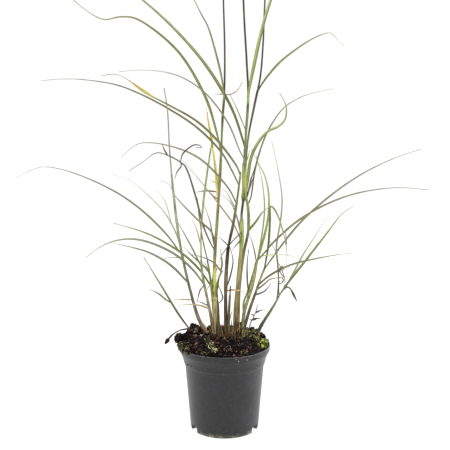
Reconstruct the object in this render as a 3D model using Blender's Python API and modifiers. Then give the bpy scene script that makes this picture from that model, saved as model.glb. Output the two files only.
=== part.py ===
"""Potted miscanthus grass clump in a two-litre nursery pot.

The pot, the compost, the culms, the leaf blades, the moss and one dry root are separate pieces.
The origin is the centre of the pot's underside, +Z is up and the viewer looks along +Y.
"""
import bpy
import bmesh
from math import cos, exp, hypot, pi, radians, sin
from mathutils import Vector

MM = 0.001
GAP = 0.35 * MM                 # clearance between pieces that touch

# Pot, outer radii and heights
POT_HEIGHT = 150.5 * MM
LIP_RADIUS = 80.0 * MM
FLARE_TOP = 140.5 * MM          # the lip flares out between these two heights
FLARE_BOTTOM = 130.5 * MM
FLARE_TOP_RADIUS = 79.6 * MM
FLARE_RADIUS = 74.6 * MM
NECK_HEIGHT = 126.5 * MM
NECK_RADIUS = 73.2 * MM         # wall just below the flare
STEP_TOP = 118.4 * MM
STEP_BOTTOM = 116.8 * MM
SHOULDER_RADIUS = 71.4 * MM     # just above the stacking step
BODY_RADIUS = 69.7 * MM         # just below the stacking step
FOOT_RADIUS = 60.1 * MM
POT_WALL = 1.6 * MM
EDGE_ROUND = 0.8 * MM
DRAIN_ANGLES = (-118.0, -62.0, 62.0, 118.0)     # degrees from the front
DRAIN_WIDTH = 21.0 * MM
DRAIN_HEIGHT = 9.5 * MM
DRAIN_DEPTH = 9.0 * MM
ROUND_STEPS = 48

# Compost
SOIL_EDGE = 146.5 * MM
SOIL_CROWN = 167.5 * MM
MOUND_SHARPNESS = 5             # higher is flatter in the middle and steeper at the edge
SOIL_LUMP = 1.6 * MM
SOIL_RINGS = (0.0, 18.0, 34.0, 48.0, 60.0, 70.0)    # radii in mm of the rings of the top
# Heaps on the compost: centre x, centre y, radius, height
SOIL_HEAPS = (
    (-54.0 * MM, 16.0 * MM, 15.0 * MM, 13.0 * MM),
    (48.0 * MM, 14.0 * MM, 18.0 * MM, 4.0 * MM),
)
PLANTED = 18.0 * MM             # how deep a culm stands in the compost

# Grass
BLADE_THICKNESS = 0.7 * MM
BLADE_STATIONS = 10
CULM_STATIONS = 14
CULM_SIDES_LEVEL = 1            # six-sided culms

# View of the reference picture, which is 450 x 450: columns run right and rows run down
CENTRE_COLUMN = 225.0
CENTRE_ROW = 225.0
POT_COLUMN = 224.5              # column of the pot's axis
FOCAL = 780.0                   # in picture columns
EYE_DISTANCE = 1322.0 * MM
EYE_HEIGHT = 569.0 * MM
EYE_PITCH = radians(8.94)       # downwards
EYE = Vector(((CENTRE_COLUMN - POT_COLUMN) / FOCAL * EYE_DISTANCE, -EYE_DISTANCE, EYE_HEIGHT))

# Culms, routes as (column, row) from the compost upwards:
# name: depth at the foot and at the top in mm, radius at the foot and at the top in mm, route
CULMS = {
    "culm_flowering_left": (6, 22, 2.5, 1.0, (
        (216.6, 334), (215.2, 312), (214.5, 275), (215.1, 250), (217.2, 220), (219.1, 189), (220.7, 162),
        (222.5, 120), (224.4, 90), (224.7, 48), (223.4, 0), (222.6, -45), (222.6, -78))),
    "culm_flowering_middle": (-4, -8, 2.5, 1.0, (
        (234.5, 335), (235.6, 305), (238.9, 273), (241.6, 240), (241.6, 215), (244.2, 192), (244.4, 165),
        (245.9, 134), (248.2, 97), (246.6, 60), (244.0, 14), (242.0, -45), (240.6, -108))),
    "culm_flowering_right": (16, 36, 2.2, 0.9, (
        (237.9, 333), (239.6, 285), (243.3, 255), (248.2, 231), (248.2, 209), (245.6, 190), (246.0, 160),
        (248.8, 134), (254.5, 105), (260.4, 76), (263.0, 45), (264.0, 22), (266.2, -25), (269.0, -62))),
    "culm_brown_inner": (-26, -40, 2.0, 0.9, (
        (226.0, 336), (225.6, 300), (226.1, 276), (228.3, 248), (233.4, 223), (237.1, 200), (240.8, 172))),
    "culm_green_inner": (-12, -42, 2.1, 0.8, (
        (213.4, 335), (210.7, 315), (206.5, 295), (202.4, 274), (200.9, 246), (202.6, 210), (207.0, 174),
        (211.6, 144))),
    "culm_olive_inner": (24, 58, 1.9, 0.7, (
        (215.6, 331), (213.8, 313), (210.8, 283), (207.6, 261), (203.6, 244), (199.6, 220), (197.2, 198))),
    "culm_left_outer": (2, -26, 2.3, 0.8, (
        (206.5, 334), (198.0, 317), (191.2, 294), (184.2, 265), (178.4, 234), (173.2, 191), (169.6, 150),
        (167.6, 112), (164.0, 88))),
    "culm_right_green": (-14, -30, 2.1, 1.1, (
        (242.0, 336), (243.9, 314), (249.0, 296), (253.5, 279), (256.5, 261))),
    "culm_right_olive": (12, 26, 2.0, 1.1, (
        (243.0, 333), (249.2, 311), (255.1, 294), (261.0, 277), (264.7, 268))),
    "culm_right_outer": (-8, -20, 1.7, 0.9, (
        (256.0, 336), (262.0, 324), (270.5, 311), (276.4, 301), (280.4, 293))),
    "culm_centre_short": (-26, -34, 1.5, 0.7, (
        (218.8, 337), (218.2, 308), (216.9, 287), (219.9, 275), (222.0, 271))),
    "culm_dead_stub": (-30, -34, 1.4, 1.0, (
        (228.5, 338), (229.0, 313), (230.5, 286))),
}

# Leaf blades, routes as (column, row) from the culm to the tip:
# name: culm it grows from, side of it (-1 front, 1 back), depth at the tip in mm,
#       width in mm, turn of the face in degrees at the tip, route without its first point;
#       the first number of the route is the row where the blade leaves its culm
BLADES = {
    "leaf_upper_left_1": ("culm_flowering_left", -1, -120, 4.2, 40, 152, (
        (216, 130), (206, 98.5), (186, 62), (165, 38.7), (138, 19.6), (120, 17), (104, 19.6), (89, 12.4),
        (72, -1))),
    "leaf_upper_left_2": ("culm_flowering_middle", 1, 190, 5.6, 35, 148, (
        (232.5, 110), (210, 71), (186, 41), (157.4, 12.4), (128, -11), (105, -23), (84, -28))),
    "leaf_upper_left_3": ("culm_flowering_left", -1, -80, 3.6, 50, 97, (
        (222, 80), (218, 62), (209, 30), (201, 14), (190, -7), (176, -24), (160, -36))),
    "leaf_upper_left_4": ("culm_brown_inner", -1, -70, 3.8, 55, 176, (
        (235.6, 164.5), (217.7, 141), (195.7, 120.6), (167, 104.3), (143, 91.8), (127.5, 79.6), (115, 74.3),
        (101, 76))),
    "leaf_upper_left_5": ("culm_brown_inner", 1, 90, 3.4, 55, 186, (
        (232.5, 171.8), (220, 150.5), (195.7, 126.6), (167, 108), (140.4, 94.2), (114.5, 84.5), (82, 79.6),
        (60, 79.2), (41, 80.8))),
    "leaf_upper_left_6": ("culm_flowering_middle", -1, -210, 2.6, 60, 160, (
        (239, 149), (228.5, 124), (210, 98), (190.9, 82.3), (169.8, 73.2), (143, 70.2), (119, 71.8))),
    "leaf_upper_left_7": ("culm_flowering_left", 1, 60, 4.4, 60, 197, (
        (216.5, 175), (213.8, 153.6), (211, 138), (208, 121), (206.6, 108), (208.8, 101))),
    "leaf_upper_right_1": ("culm_flowering_middle", -1, -150, 5.4, 35, 100, (
        (248.8, 91), (253.6, 67), (259.3, 40), (266, 14.4), (275, -11), (288, -34), (304, -50))),
    "leaf_upper_right_2": ("culm_flowering_right", 1, 130, 3.6, 50, 92, (
        (265.1, 79.4), (279.4, 62.7), (295.7, 49.7), (311, 39.7), (325, 33.6), (332, 34), (338.7, 41),
        (344, 46))),
    "leaf_upper_right_3": ("culm_flowering_right", -1, -90, 5.0, 25, 194, (
        (248, 178), (250, 162), (254, 150), (261, 138.3), (268.9, 130.6), (278, 126.5), (285, 119),
        (286, 106), (279.4, 92.8))),
    "leaf_upper_right_4": ("culm_flowering_right", 1, 210, 3.0, 55, 206, (
        (251.4, 195), (255, 170), (262, 145), (271, 125.5), (283.5, 108.3), (300, 97.6), (316, 92.3),
        (334, 88.5))),
    "leaf_upper_right_5": ("culm_right_outer", 1, 230, 3.0, 50, 297, (
        (278.6, 280), (277.6, 262), (276.4, 248), (278, 235.8), (281.3, 214.8), (281.8, 194), (276.5, 162),
        (271.7, 141))),
    "leaf_middle_right_1": ("culm_right_olive", 1, 130, 4.0, 50, 270, (
        (275, 254.3), (289.4, 235.3), (305.2, 217.7), (332, 194.5), (361, 174.6), (391.8, 159.3),
        (420.5, 149.3))),
    "leaf_middle_right_2": ("culm_right_green", -1, -70, 3.8, 55, 262, (
        (263.6, 253.7), (277, 238.8), (300, 219.3), (328.7, 203.3), (359.3, 192.8), (395.7, 187.8),
        (429, 189.9))),
    "leaf_middle_right_3": ("culm_right_outer", -1, -190, 4.0, 45, 296, (
        (287, 284), (304.9, 261.2), (326.8, 233), (341, 214.8), (353.5, 206))),
    "leaf_middle_right_4": ("culm_right_outer", 1, 100, 3.4, 50, 295, (
        (288, 283), (303.8, 253.7), (315.3, 236), (326, 218.5))),
    "leaf_middle_right_5": ("culm_right_green", 1, 110, 4.0, 50, 266, (
        (261.2, 247.8), (267.9, 219.6), (269, 196), (265.1, 176.5), (257.4, 161), (249, 144))),
    "leaf_middle_right_6": ("culm_right_olive", -1, -120, 3.8, 55, 269, (
        (268.2, 247), (270, 222), (270.4, 207), (275, 210.5), (281, 225), (286.5, 250), (286, 276))),
    "leaf_middle_right_7": ("culm_right_green", -1.8, -130, 2.6, 50, 268, (
        (261, 240), (264.4, 210), (262, 181), (256, 155))),
    "leaf_middle_right_8": ("culm_flowering_right", 1, 60, 4.2, 40, 231, (
        (255.5, 222.3), (262, 213), (269, 207))),
    "leaf_lower_right_1": ("culm_right_olive", -1, -70, 4.0, 45, 286, (
        (266.5, 277.8), (278.5, 270.4), (295.2, 263.5), (315.3, 258.9), (335.4, 255.1), (351, 253.4))),
    "leaf_lower_right_2": ("culm_right_olive", 1, 60, 3.2, 50, 290, (
        (263.6, 284.7), (270, 279.4), (278, 277.8), (287, 276.4))),
    "leaf_lower_right_3": ("culm_right_olive", -1, -14, 3.0, 30, 295, (
        (260, 293.4), (265.5, 290.5), (271, 283.4))),
    "leaf_lower_right_4": ("culm_right_outer", -2.4, -90, 2.6, 30, 294, (
        (286, 287.6), (291, 289.5), (296.5, 301))),
    "leaf_middle_left_1": ("culm_brown_inner", 1, 180, 3.4, 55, 204, (
        (228.2, 188), (208, 165.5), (190.9, 153.6), (169.8, 146), (150, 142.8), (136, 144.9), (121.5, 157))),
    "leaf_middle_left_2": ("culm_flowering_middle", 1, 100, 3.0, 45, 238, (
        (239.2, 226), (236.4, 215.5), (231, 203), (222, 195))),
    "leaf_middle_left_3": ("culm_flowering_middle", -1, -110, 2.6, 60, 242, (
        (234, 225), (218.6, 204), (205, 187), (191, 170), (182, 160))),
    "leaf_middle_left_4": ("culm_flowering_left", -1, -90, 3.2, 45, 252, (
        (204, 228), (195.7, 197), (187, 170), (180, 162), (168, 155.6), (156, 153), (145, 160.5),
        (129, 171))),
    "leaf_middle_left_5": ("culm_left_outer", -1, -90, 4.0, 50, 255, (
        (167, 235), (147.8, 215.6), (128.7, 200.4), (110, 189), (86, 177.8), (61, 169.4), (40, 167.4),
        (17, 177))),
    "leaf_middle_left_6": ("culm_left_outer", 1, 190, 3.2, 50, 246, (
        (175.3, 231.5), (165, 213), (149.7, 196.6), (130.6, 180.8), (112, 174.2))),
    "leaf_middle_left_7": ("culm_flowering_left", 1, 150, 3.4, 50, 246, (
        (210.9, 231.1), (196, 218), (176.5, 197.6), (169.5, 185), (161, 180.6))),
    "leaf_middle_left_8": ("culm_flowering_left", -2, -100, 2.6, 50, 250, (
        (212.4, 236.5), (210, 222), (204, 205))),
    "leaf_middle_left_9": ("culm_green_inner", -1, -180, 2.8, 50, 268, (
        (193.8, 251.5), (186, 237), (176, 219))),
    "leaf_lower_left_1": ("culm_olive_inner", 1, 130, 4.0, 45, 287, (
        (200.2, 270.5), (183, 254), (158.7, 238.9), (138.5, 230.3), (113, 223))),
    "leaf_lower_left_2": ("culm_olive_inner", -1, -10, 3.4, 50, 273, (
        (204, 266.3), (194, 257.6), (183, 246.4))),
    "leaf_lower_left_3": ("culm_green_inner", -1, -150, 4.0, 45, 286, (
        (194, 271), (176, 255), (152.6, 243.5), (132, 239), (113, 241.4), (97.6, 248.6), (86, 257.5))),
    "leaf_lower_left_4": ("culm_left_outer", 1, 60, 3.8, 50, 283, (
        (174.5, 268.6), (161, 258.8), (142.8, 250.4), (110, 242.5))),
    "leaf_lower_left_5": ("culm_centre_short", -1, -60, 3.0, 50, 272, (
        (214, 263), (203, 257.4), (189, 254))),
    "leaf_lower_left_6": ("culm_flowering_middle", -2, -60, 2.4, 50, 232, (
        (232, 241.7), (221.5, 255.5), (217, 270))),
    "leaf_lower_left_8": ("culm_green_inner", -1, -38, 3.2, 40, 309, (
        (202, 306), (190, 304.3), (179, 305.3))),
}

# Blades that come straight out of the compost: depth at the foot and at the tip in mm,
# width in mm, turn of the face in degrees at the tip, route as (column, row)
GROUND_BLADES = {
    "leaf_lower_left_7": (4, -90, 3.4, 30, (
        (192.5, 333), (178, 313.3), (161.9, 286.7), (149, 265.7), (143.5, 257))),
}

# Dry root that hangs over the left lip: route as (column, row) and depth in mm, and its radius
DRY_ROOT = ((190.5, 328.5, 18), (185.0, 329.2, 16), (179.5, 330.4, 13), (173.5, 333.8, 8), (169.0, 338.5, 4),
            (165.0, 344.0, 2))
DRY_ROOT_RADIUS = 1.1 * MM

# Cushions of moss and a clod of compost that lie over the lip or inside it:
# centre x, y, z and radii across, along and up in mm, turn about Z in degrees
MOSS = {
    "moss_left": ((-69.5, -31.5, 151.5), (8.5, 25.0, 8.5), 21.4),
    "moss_right": ((65.0, -20.0, 156.0), (9.0, 20.0, 6.5), -14.0),
}
CLODS = {
    "compost_clod": ((-79.0, 6.0, 157.5), (9.5, 15.0, 7.5), 4.0),
}


def in_space(column, row, depth):
    """Point at the given depth (y) that the reference picture shows at this column and row."""
    across = (column - CENTRE_COLUMN) / FOCAL
    up = (CENTRE_ROW - row) / FOCAL
    forward = cos(EYE_PITCH) + up * sin(EYE_PITCH)
    reach = (depth + EYE_DISTANCE) / forward
    rise = up * cos(EYE_PITCH) - sin(EYE_PITCH)
    return Vector((EYE.x + reach * across, depth, EYE_HEIGHT + reach * rise))


def curve_point(points, step, t):
    """Point on the Catmull-Rom curve between points[step] and points[step + 1]."""
    before = points[max(step - 1, 0)]
    start = points[step]
    end = points[step + 1]
    after = points[min(step + 2, len(points) - 1)]
    return 0.5 * (2 * start + (end - before) * t + (2 * before - 5 * start + 4 * end - after) * t ** 2
                  + (3 * start - before - 3 * end + after) * t ** 3)


def smooth_route(points, count, fineness=12):
    """Smooth curve through the points, read at count places an equal length apart."""
    points = [Vector(point) for point in points]
    fine = [points[0]]
    for step in range(len(points) - 1):
        fine += [curve_point(points, step, (i + 1) / fineness) for i in range(fineness)]
    travelled = [0.0]
    for previous, current in zip(fine, fine[1:]):
        travelled.append(travelled[-1] + (current - previous).length)
    route = []
    place = 0
    for i in range(count):
        target = travelled[-1] * i / (count - 1)
        while place < len(fine) - 2 and travelled[place + 1] < target:
            place += 1
        share = (target - travelled[place]) / (travelled[place + 1] - travelled[place])
        route.append(fine[place].lerp(fine[place + 1], min(share, 1.0)))
    return route


def soil_height(x, y):
    """Height of the mounded compost above the ground at x, y."""
    out = min(hypot(x, y) / LIP_RADIUS, 1.0)
    height = SOIL_EDGE + (SOIL_CROWN - SOIL_EDGE) * (1 - out ** MOUND_SHARPNESS)
    for heap_x, heap_y, radius, rise in SOIL_HEAPS:
        height += rise * exp(-((x - heap_x) ** 2 + (y - heap_y) ** 2) / radius ** 2)
    lumps = sin(210 * x + 1.3) * cos(190 * y - 0.4) + 0.6 * sin(390 * y + 240 * x)
    return height + SOIL_LUMP * lumps * (1 - out ** 4)


def on_soil(column, depth):
    """Point of the compost's surface at this depth that the picture shows in this column."""
    reach = (depth + EYE_DISTANCE) * cos(EYE_PITCH) + (EYE_HEIGHT - SOIL_CROWN) * sin(EYE_PITCH)
    x = EYE.x + reach * (column - CENTRE_COLUMN) / FOCAL
    return Vector((x, depth, soil_height(x, depth)))


def make_material(name, color, roughness):
    """Principled material with a plain colour."""
    material = bpy.data.materials.new(name)
    material.use_nodes = True
    shader = material.node_tree.nodes["Principled BSDF"]
    shader.inputs["Base Color"].default_value = (*color, 1.0)
    shader.inputs["Roughness"].default_value = roughness
    material.diffuse_color = (*color, 1.0)
    return material


def add_object(name, mesh, collection, material=None):
    """Object of this name in the collection, with its material."""
    item = bpy.data.objects.new(name, mesh)
    collection.objects.link(item)
    if material:
        mesh.materials.append(material)
    return item


def as_mesh(item):
    """Turn the object into one that holds its evaluated mesh."""
    evaluated = item.evaluated_get(bpy.context.evaluated_depsgraph_get())
    mesh = bpy.data.meshes.new_from_object(evaluated)
    shape = bmesh.new()
    shape.from_mesh(mesh)
    bmesh.ops.remove_doubles(shape, verts=shape.verts, dist=0.01 * MM)
    shape.to_mesh(mesh)
    shape.free()
    return mesh


def turned_mesh(name, profile, collection):
    """Solid of revolution of a profile that runs out, down its outer side and back to the axis."""
    mesh = bpy.data.meshes.new(name + "_profile")
    edges = [(i, i + 1) for i in range(len(profile) - 1)]
    mesh.from_pydata([(radius, 0.0, height) for radius, height in profile], edges, [])
    item = add_object(name + "_profile", mesh, collection)
    screw = item.modifiers.new("Turn", "SCREW")
    screw.steps = ROUND_STEPS
    screw.render_steps = ROUND_STEPS
    screw.use_merge_vertices = True
    screw.merge_threshold = 0.01 * MM
    bpy.context.view_layer.update()
    turned = as_mesh(item)
    bpy.data.objects.remove(item)
    return turned


def cut(item, cutter):
    """Take the cutter's shape out of the item."""
    cutter.hide_render = True
    cutter.display_type = "WIRE"
    boolean = item.modifiers.new("Cut " + cutter.name, "BOOLEAN")
    boolean.operation = "DIFFERENCE"
    boolean.object = cutter


def pot_inside():
    """Inner profile of the pot as (radius, height), from the floor's centre to the lip's top."""
    return [
        (0.0, POT_WALL),
        (FOOT_RADIUS - POT_WALL, POT_WALL),
        (BODY_RADIUS - POT_WALL, STEP_BOTTOM),
        (SHOULDER_RADIUS - POT_WALL, STEP_TOP),
        (NECK_RADIUS - POT_WALL, NECK_HEIGHT),
        (FLARE_RADIUS - POT_WALL, FLARE_BOTTOM),
        (FLARE_TOP_RADIUS - POT_WALL, FLARE_TOP),
        (LIP_RADIUS - POT_WALL, POT_HEIGHT - EDGE_ROUND / 2),
        (LIP_RADIUS - POT_WALL + EDGE_ROUND / 2, POT_HEIGHT),
    ]


def pot_outside():
    """Outer profile of the pot as (radius, height), from the lip's top to the underside's centre."""
    return [
        (LIP_RADIUS - EDGE_ROUND, POT_HEIGHT),
        (LIP_RADIUS, POT_HEIGHT - EDGE_ROUND),
        (FLARE_TOP_RADIUS, FLARE_TOP),
        (FLARE_RADIUS, FLARE_BOTTOM),
        (NECK_RADIUS, NECK_HEIGHT),
        (SHOULDER_RADIUS, STEP_TOP),
        (BODY_RADIUS, STEP_BOTTOM),
        (FOOT_RADIUS, 2 * EDGE_ROUND),
        (FOOT_RADIUS - EDGE_ROUND, 0.0),
        (0.0, 0.0),
    ]


def add_pot(collection, cutters):
    """Thin-walled pot with a stepped shoulder, a flared lip and four drain notches at its foot."""
    material = make_material("pot_plastic", (0.055, 0.055, 0.058), 0.45)
    mesh = turned_mesh("pot", pot_inside() + pot_outside(), cutters)
    pot = add_object("pot", mesh, collection, material)
    for number, degrees in enumerate(DRAIN_ANGLES):
        shape = bmesh.new()
        bmesh.ops.create_cube(shape, size=1.0)
        bmesh.ops.scale(shape, vec=(DRAIN_WIDTH, 2 * DRAIN_DEPTH, 2 * DRAIN_HEIGHT), verts=shape.verts)
        upright = [edge for edge in shape.edges if abs(edge.verts[0].co.y - edge.verts[1].co.y) > DRAIN_DEPTH]
        bmesh.ops.bevel(shape, geom=upright, offset=3 * MM, segments=3, profile=0.5, affect="EDGES")
        cutter_mesh = bpy.data.meshes.new("drain_cutter")
        shape.to_mesh(cutter_mesh)
        shape.free()
        cutter = add_object(f"drain_cutter_{number + 1}", cutter_mesh, cutters)
        angle = radians(degrees)
        cutter.location = (FOOT_RADIUS * sin(angle), -FOOT_RADIUS * cos(angle), 0.0)
        cutter.rotation_euler = (0.0, 0.0, angle)
        cut(pot, cutter)
    return pot


def soil_profile(lift):
    """Profile of the compost, from the middle of its top down the pot's inside to the floor's centre."""
    top = [(radius * MM, SOIL_CROWN) for radius in SOIL_RINGS]
    edge = [(FLARE_TOP_RADIUS - POT_WALL - 2 * GAP, SOIL_EDGE + lift)]
    wall = [(max(radius - GAP, 0.0), height + GAP) for radius, height in reversed(pot_inside()[:6])]
    return top + edge + wall


def soil_mesh(name, cutters, lift=0.0):
    """Compost that fills the pot up to its mounded top, raised by lift."""
    mesh = turned_mesh(name, soil_profile(lift), cutters)
    ring_limit = (SOIL_RINGS[-1] + 1) * MM
    for vertex in mesh.vertices:
        x, y, z = vertex.co
        if hypot(x, y) < ring_limit and z > SOIL_EDGE:
            vertex.co.z = soil_height(x, y) + lift
    return mesh


def add_soil(collection, cutters, feet):
    """Compost with a hole for the foot of each culm."""
    material = make_material("compost", (0.035, 0.022, 0.016), 0.95)
    soil = add_object("soil", soil_mesh("soil", cutters), collection, material)
    for name, (foot, direction, radius) in feet.items():
        length = PLANTED + 8 * MM
        shape = bmesh.new()
        bmesh.ops.create_cone(shape, cap_ends=True, segments=8, radius1=radius, radius2=radius,
                              depth=length)
        hole_mesh = bpy.data.meshes.new(name + "_hole")
        shape.to_mesh(hole_mesh)
        shape.free()
        hole = add_object(name + "_hole", hole_mesh, cutters)
        hole.rotation_mode = "QUATERNION"
        hole.rotation_quaternion = direction.to_track_quat("Z", "Y")
        hole.location = foot + direction * (length / 2 - PLANTED - GAP)
        cut(soil, hole)
    return soil


def culm_route(name, count):
    """Picture route of a culm with its depth, as (column, row, depth) read at count places."""
    foot_depth, top_depth, _, _, route = CULMS[name]
    flat = smooth_route([(column, row, 0.0) for column, row in route], count)
    last = count - 1
    return [(p.x, p.y, (foot_depth + (top_depth - foot_depth) * i / last) * MM) for i, p in enumerate(flat)]


def culm_points(name, count):
    """Centre line of a culm in space, its first point on the compost."""
    route = culm_route(name, count)
    return [on_soil(route[0][0], route[0][2])] + [in_space(*place) for place in route[1:]]


def culm_radius(name, share):
    """Radius of a culm at a share of its length."""
    _, _, foot_radius, top_radius, _ = CULMS[name]
    return (foot_radius + (top_radius - foot_radius) * share ** 0.8) * MM


def add_tube(name, points, radii, collection, material):
    """Round stem along the points, thick as the radii say, closed at both ends."""
    data = bpy.data.curves.new(name, "CURVE")
    data.dimensions = "3D"
    data.bevel_depth = 1.0
    data.bevel_resolution = CULM_SIDES_LEVEL
    data.use_fill_caps = True
    data.resolution_u = 1
    spline = data.splines.new("POLY")
    spline.points.add(len(points) - 1)
    for place, point, radius in zip(spline.points, points, radii):
        place.co = (*point, 1.0)
        place.radius = radius
    item = bpy.data.objects.new(name, data)
    collection.objects.link(item)
    data.materials.append(material)
    return item


def add_culm(name, collection, material):
    """Culm with its foot planted in the compost. Gives back the foot, its direction and its hole."""
    points = culm_points(name, CULM_STATIONS)
    direction = (points[1] - points[0]).normalized()
    last = len(points) - 1
    radii = [culm_radius(name, i / last) for i in range(len(points))]
    foot = points[0]
    add_tube(name, [foot - direction * PLANTED] + points, radii[:1] + radii, collection, material)
    return foot, direction, radii[0] / cos(pi / 8) + GAP


def culm_place(name, row):
    """Column, depth and radius of a culm where it passes this row."""
    route = culm_route(name, 60)
    place = min(range(len(route)), key=lambda i: abs(route[i][1] - row))
    return route[place][0], route[place][2], culm_radius(name, place / (len(route) - 1))


def blade_width(width, share):
    """Width of a blade at a share of its length: narrow at the culm, widest at a third, pointed."""
    rise = min(1.0, 0.55 + 1.8 * share)
    taper = (1.0 - max(0.0, share - 0.3) / 0.7) ** 0.8
    return max(width * rise * taper, 0.8) * MM


def blade_points(route, root_depth, tip_depth, count):
    """Centre line of a blade in space, which leaves its root's depth more and more."""
    flat = smooth_route([(column, row, 0.0) for column, row in route], count)
    last = count - 1
    return [in_space(p.x, p.y, root_depth + (tip_depth - root_depth) * (i / last) ** 1.4)
            for i, p in enumerate(flat)]


def add_blade(name, points, width, turn, collection, material):
    """Thin pointed blade along the points, which turns from facing the viewer by turn degrees."""
    shape = bmesh.new()
    last = len(points) - 1
    pairs = []
    for i, point in enumerate(points):
        along = (points[min(i + 1, last)] - points[max(i - 1, 0)]).normalized()
        across = along.cross(EYE - point).normalized()
        face = across.cross(along)
        angle = radians(turn) * i / last
        half = (across * cos(angle) + face * sin(angle)) * blade_width(width, i / last) / 2
        pairs.append((shape.verts.new(point - half), shape.verts.new(point + half)))
    for (left, right), (next_left, next_right) in zip(pairs, pairs[1:]):
        shape.faces.new((left, right, next_right, next_left))
    mesh = bpy.data.meshes.new(name)
    shape.to_mesh(mesh)
    shape.free()
    blade = add_object(name, mesh, collection, material)
    solidify = blade.modifiers.new("Thickness", "SOLIDIFY")
    solidify.thickness = BLADE_THICKNESS
    solidify.offset = 0.0
    return blade


def add_blades(collection):
    """Every blade, the ones on culms and the ones out of the compost."""
    material = make_material("leaf_green", (0.16, 0.22, 0.05), 0.5)
    for name, (culm, side, tip_depth, width, turn, row, route) in BLADES.items():
        column, depth, radius = culm_place(culm, row)
        root_depth = depth + side * (radius + GAP + BLADE_THICKNESS)
        points = blade_points(((column, row),) + route, root_depth, tip_depth * MM, BLADE_STATIONS)
        add_blade(name, points, width, turn, collection, material)
    for name, (foot_depth, tip_depth, width, turn, route) in GROUND_BLADES.items():
        points = blade_points(route, foot_depth * MM, tip_depth * MM, BLADE_STATIONS)
        points[0] = on_soil(route[0][0], foot_depth * MM) + Vector((0.0, 0.0, GAP))
        add_blade(name, points, width, turn, collection, material)


def add_cushions(collection, cutters):
    """Cushions of moss and the clod, which lie on the compost and over the lip."""
    moss = make_material("moss", (0.20, 0.27, 0.03), 0.9)
    compost = bpy.data.materials["compost"]
    keep_out = add_object("moss_soil_cutter", soil_mesh("moss_soil_cutter", cutters, 2 * GAP), cutters)
    lip_profile = [
        (NECK_RADIUS - 6 * MM, POT_HEIGHT + GAP),
        (LIP_RADIUS + GAP, POT_HEIGHT + GAP),
        (LIP_RADIUS + GAP, FLARE_TOP),
        (FLARE_RADIUS + 2 * GAP, FLARE_BOTTOM),
        (NECK_RADIUS + 2 * GAP, NECK_HEIGHT),
        (NECK_RADIUS - 6 * MM, NECK_HEIGHT),
        (NECK_RADIUS - 6 * MM, POT_HEIGHT + GAP),
    ]
    lip = add_object("moss_lip_cutter", turned_mesh("moss_lip_cutter", lip_profile, cutters), cutters)
    for name, (centre, radii, turn) in (MOSS | CLODS).items():
        shape = bmesh.new()
        bmesh.ops.create_icosphere(shape, subdivisions=2, radius=MM)
        bmesh.ops.scale(shape, vec=radii, verts=shape.verts)
        mesh = bpy.data.meshes.new(name)
        shape.to_mesh(mesh)
        shape.free()
        cushion = add_object(name, mesh, collection, moss if name in MOSS else compost)
        cushion.location = Vector(centre) * MM
        cushion.rotation_euler = (0.0, 0.0, radians(turn))
        cut(cushion, keep_out)
        cut(cushion, lip)


def add_dry_root(collection):
    """Dry root that lies on the left heap and hangs over the lip."""
    material = make_material("dry_root", (0.08, 0.05, 0.035), 0.9)
    places = smooth_route([(column, row, depth) for column, row, depth in DRY_ROOT], 9)
    points = [in_space(p.x, p.y, p.z * MM) for p in places]
    add_tube("dry_root", points, [DRY_ROOT_RADIUS] * len(points), collection, material)


def main():
    for item in list(bpy.data.objects):
        bpy.data.objects.remove(item)
    collection = bpy.data.collections.new("potted_miscanthus")
    cutters = bpy.data.collections.new("cutters")
    bpy.context.scene.collection.children.link(collection)
    bpy.context.scene.collection.children.link(cutters)
    add_pot(collection, cutters)
    culm_material = make_material("culm_straw", (0.24, 0.19, 0.09), 0.55)
    feet = {name: add_culm(name, collection, culm_material) for name in CULMS}
    add_soil(collection, cutters, feet)
    add_blades(collection)
    add_cushions(collection, cutters)
    add_dry_root(collection)


main()
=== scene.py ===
"""Looks of a potted miscanthus grass clump: every surface, the camera, the floor and the light.

Lengths are in metres unless a name says mm. The origin is the centre of the pot's underside and +Z is up.
"""
from math import cos, degrees, exp, hypot, pi, radians, sin, tau
from random import Random

import bpy
import bmesh
import numpy as np
from mathutils import Matrix, Vector, noise


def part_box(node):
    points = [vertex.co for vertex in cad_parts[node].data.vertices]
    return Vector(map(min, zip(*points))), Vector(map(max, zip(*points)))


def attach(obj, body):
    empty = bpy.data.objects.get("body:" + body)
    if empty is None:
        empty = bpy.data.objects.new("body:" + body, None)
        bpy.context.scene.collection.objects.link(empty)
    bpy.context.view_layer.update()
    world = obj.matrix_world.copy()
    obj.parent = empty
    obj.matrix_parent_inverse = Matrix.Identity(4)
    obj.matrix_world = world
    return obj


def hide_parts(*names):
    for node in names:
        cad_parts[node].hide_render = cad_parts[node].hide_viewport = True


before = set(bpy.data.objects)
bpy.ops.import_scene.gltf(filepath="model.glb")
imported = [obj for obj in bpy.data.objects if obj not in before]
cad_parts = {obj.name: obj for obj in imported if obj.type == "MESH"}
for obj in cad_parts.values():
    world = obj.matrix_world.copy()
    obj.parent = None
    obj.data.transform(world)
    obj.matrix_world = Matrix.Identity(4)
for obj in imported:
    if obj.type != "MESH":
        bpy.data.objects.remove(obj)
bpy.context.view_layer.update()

MM = 0.001
BODY = "root"
GAP = 0.35 * MM
UP = Vector((0.0, 0.0, 1.0))

# View of the reference picture, 450 x 450: columns run right and rows run down
PICTURE = 450.0
CENTRE = PICTURE / 2
POT_COLUMN = 224.5
FOCAL = 780.0
SENSOR_MM = 36.0
EYE_DISTANCE = 1322.0 * MM
EYE_HEIGHT = 569.0 * MM
EYE_PITCH = radians(8.94)
EYE = Vector(((CENTRE - POT_COLUMN) / FOCAL * EYE_DISTANCE, -EYE_DISTANCE, EYE_HEIGHT))

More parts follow.
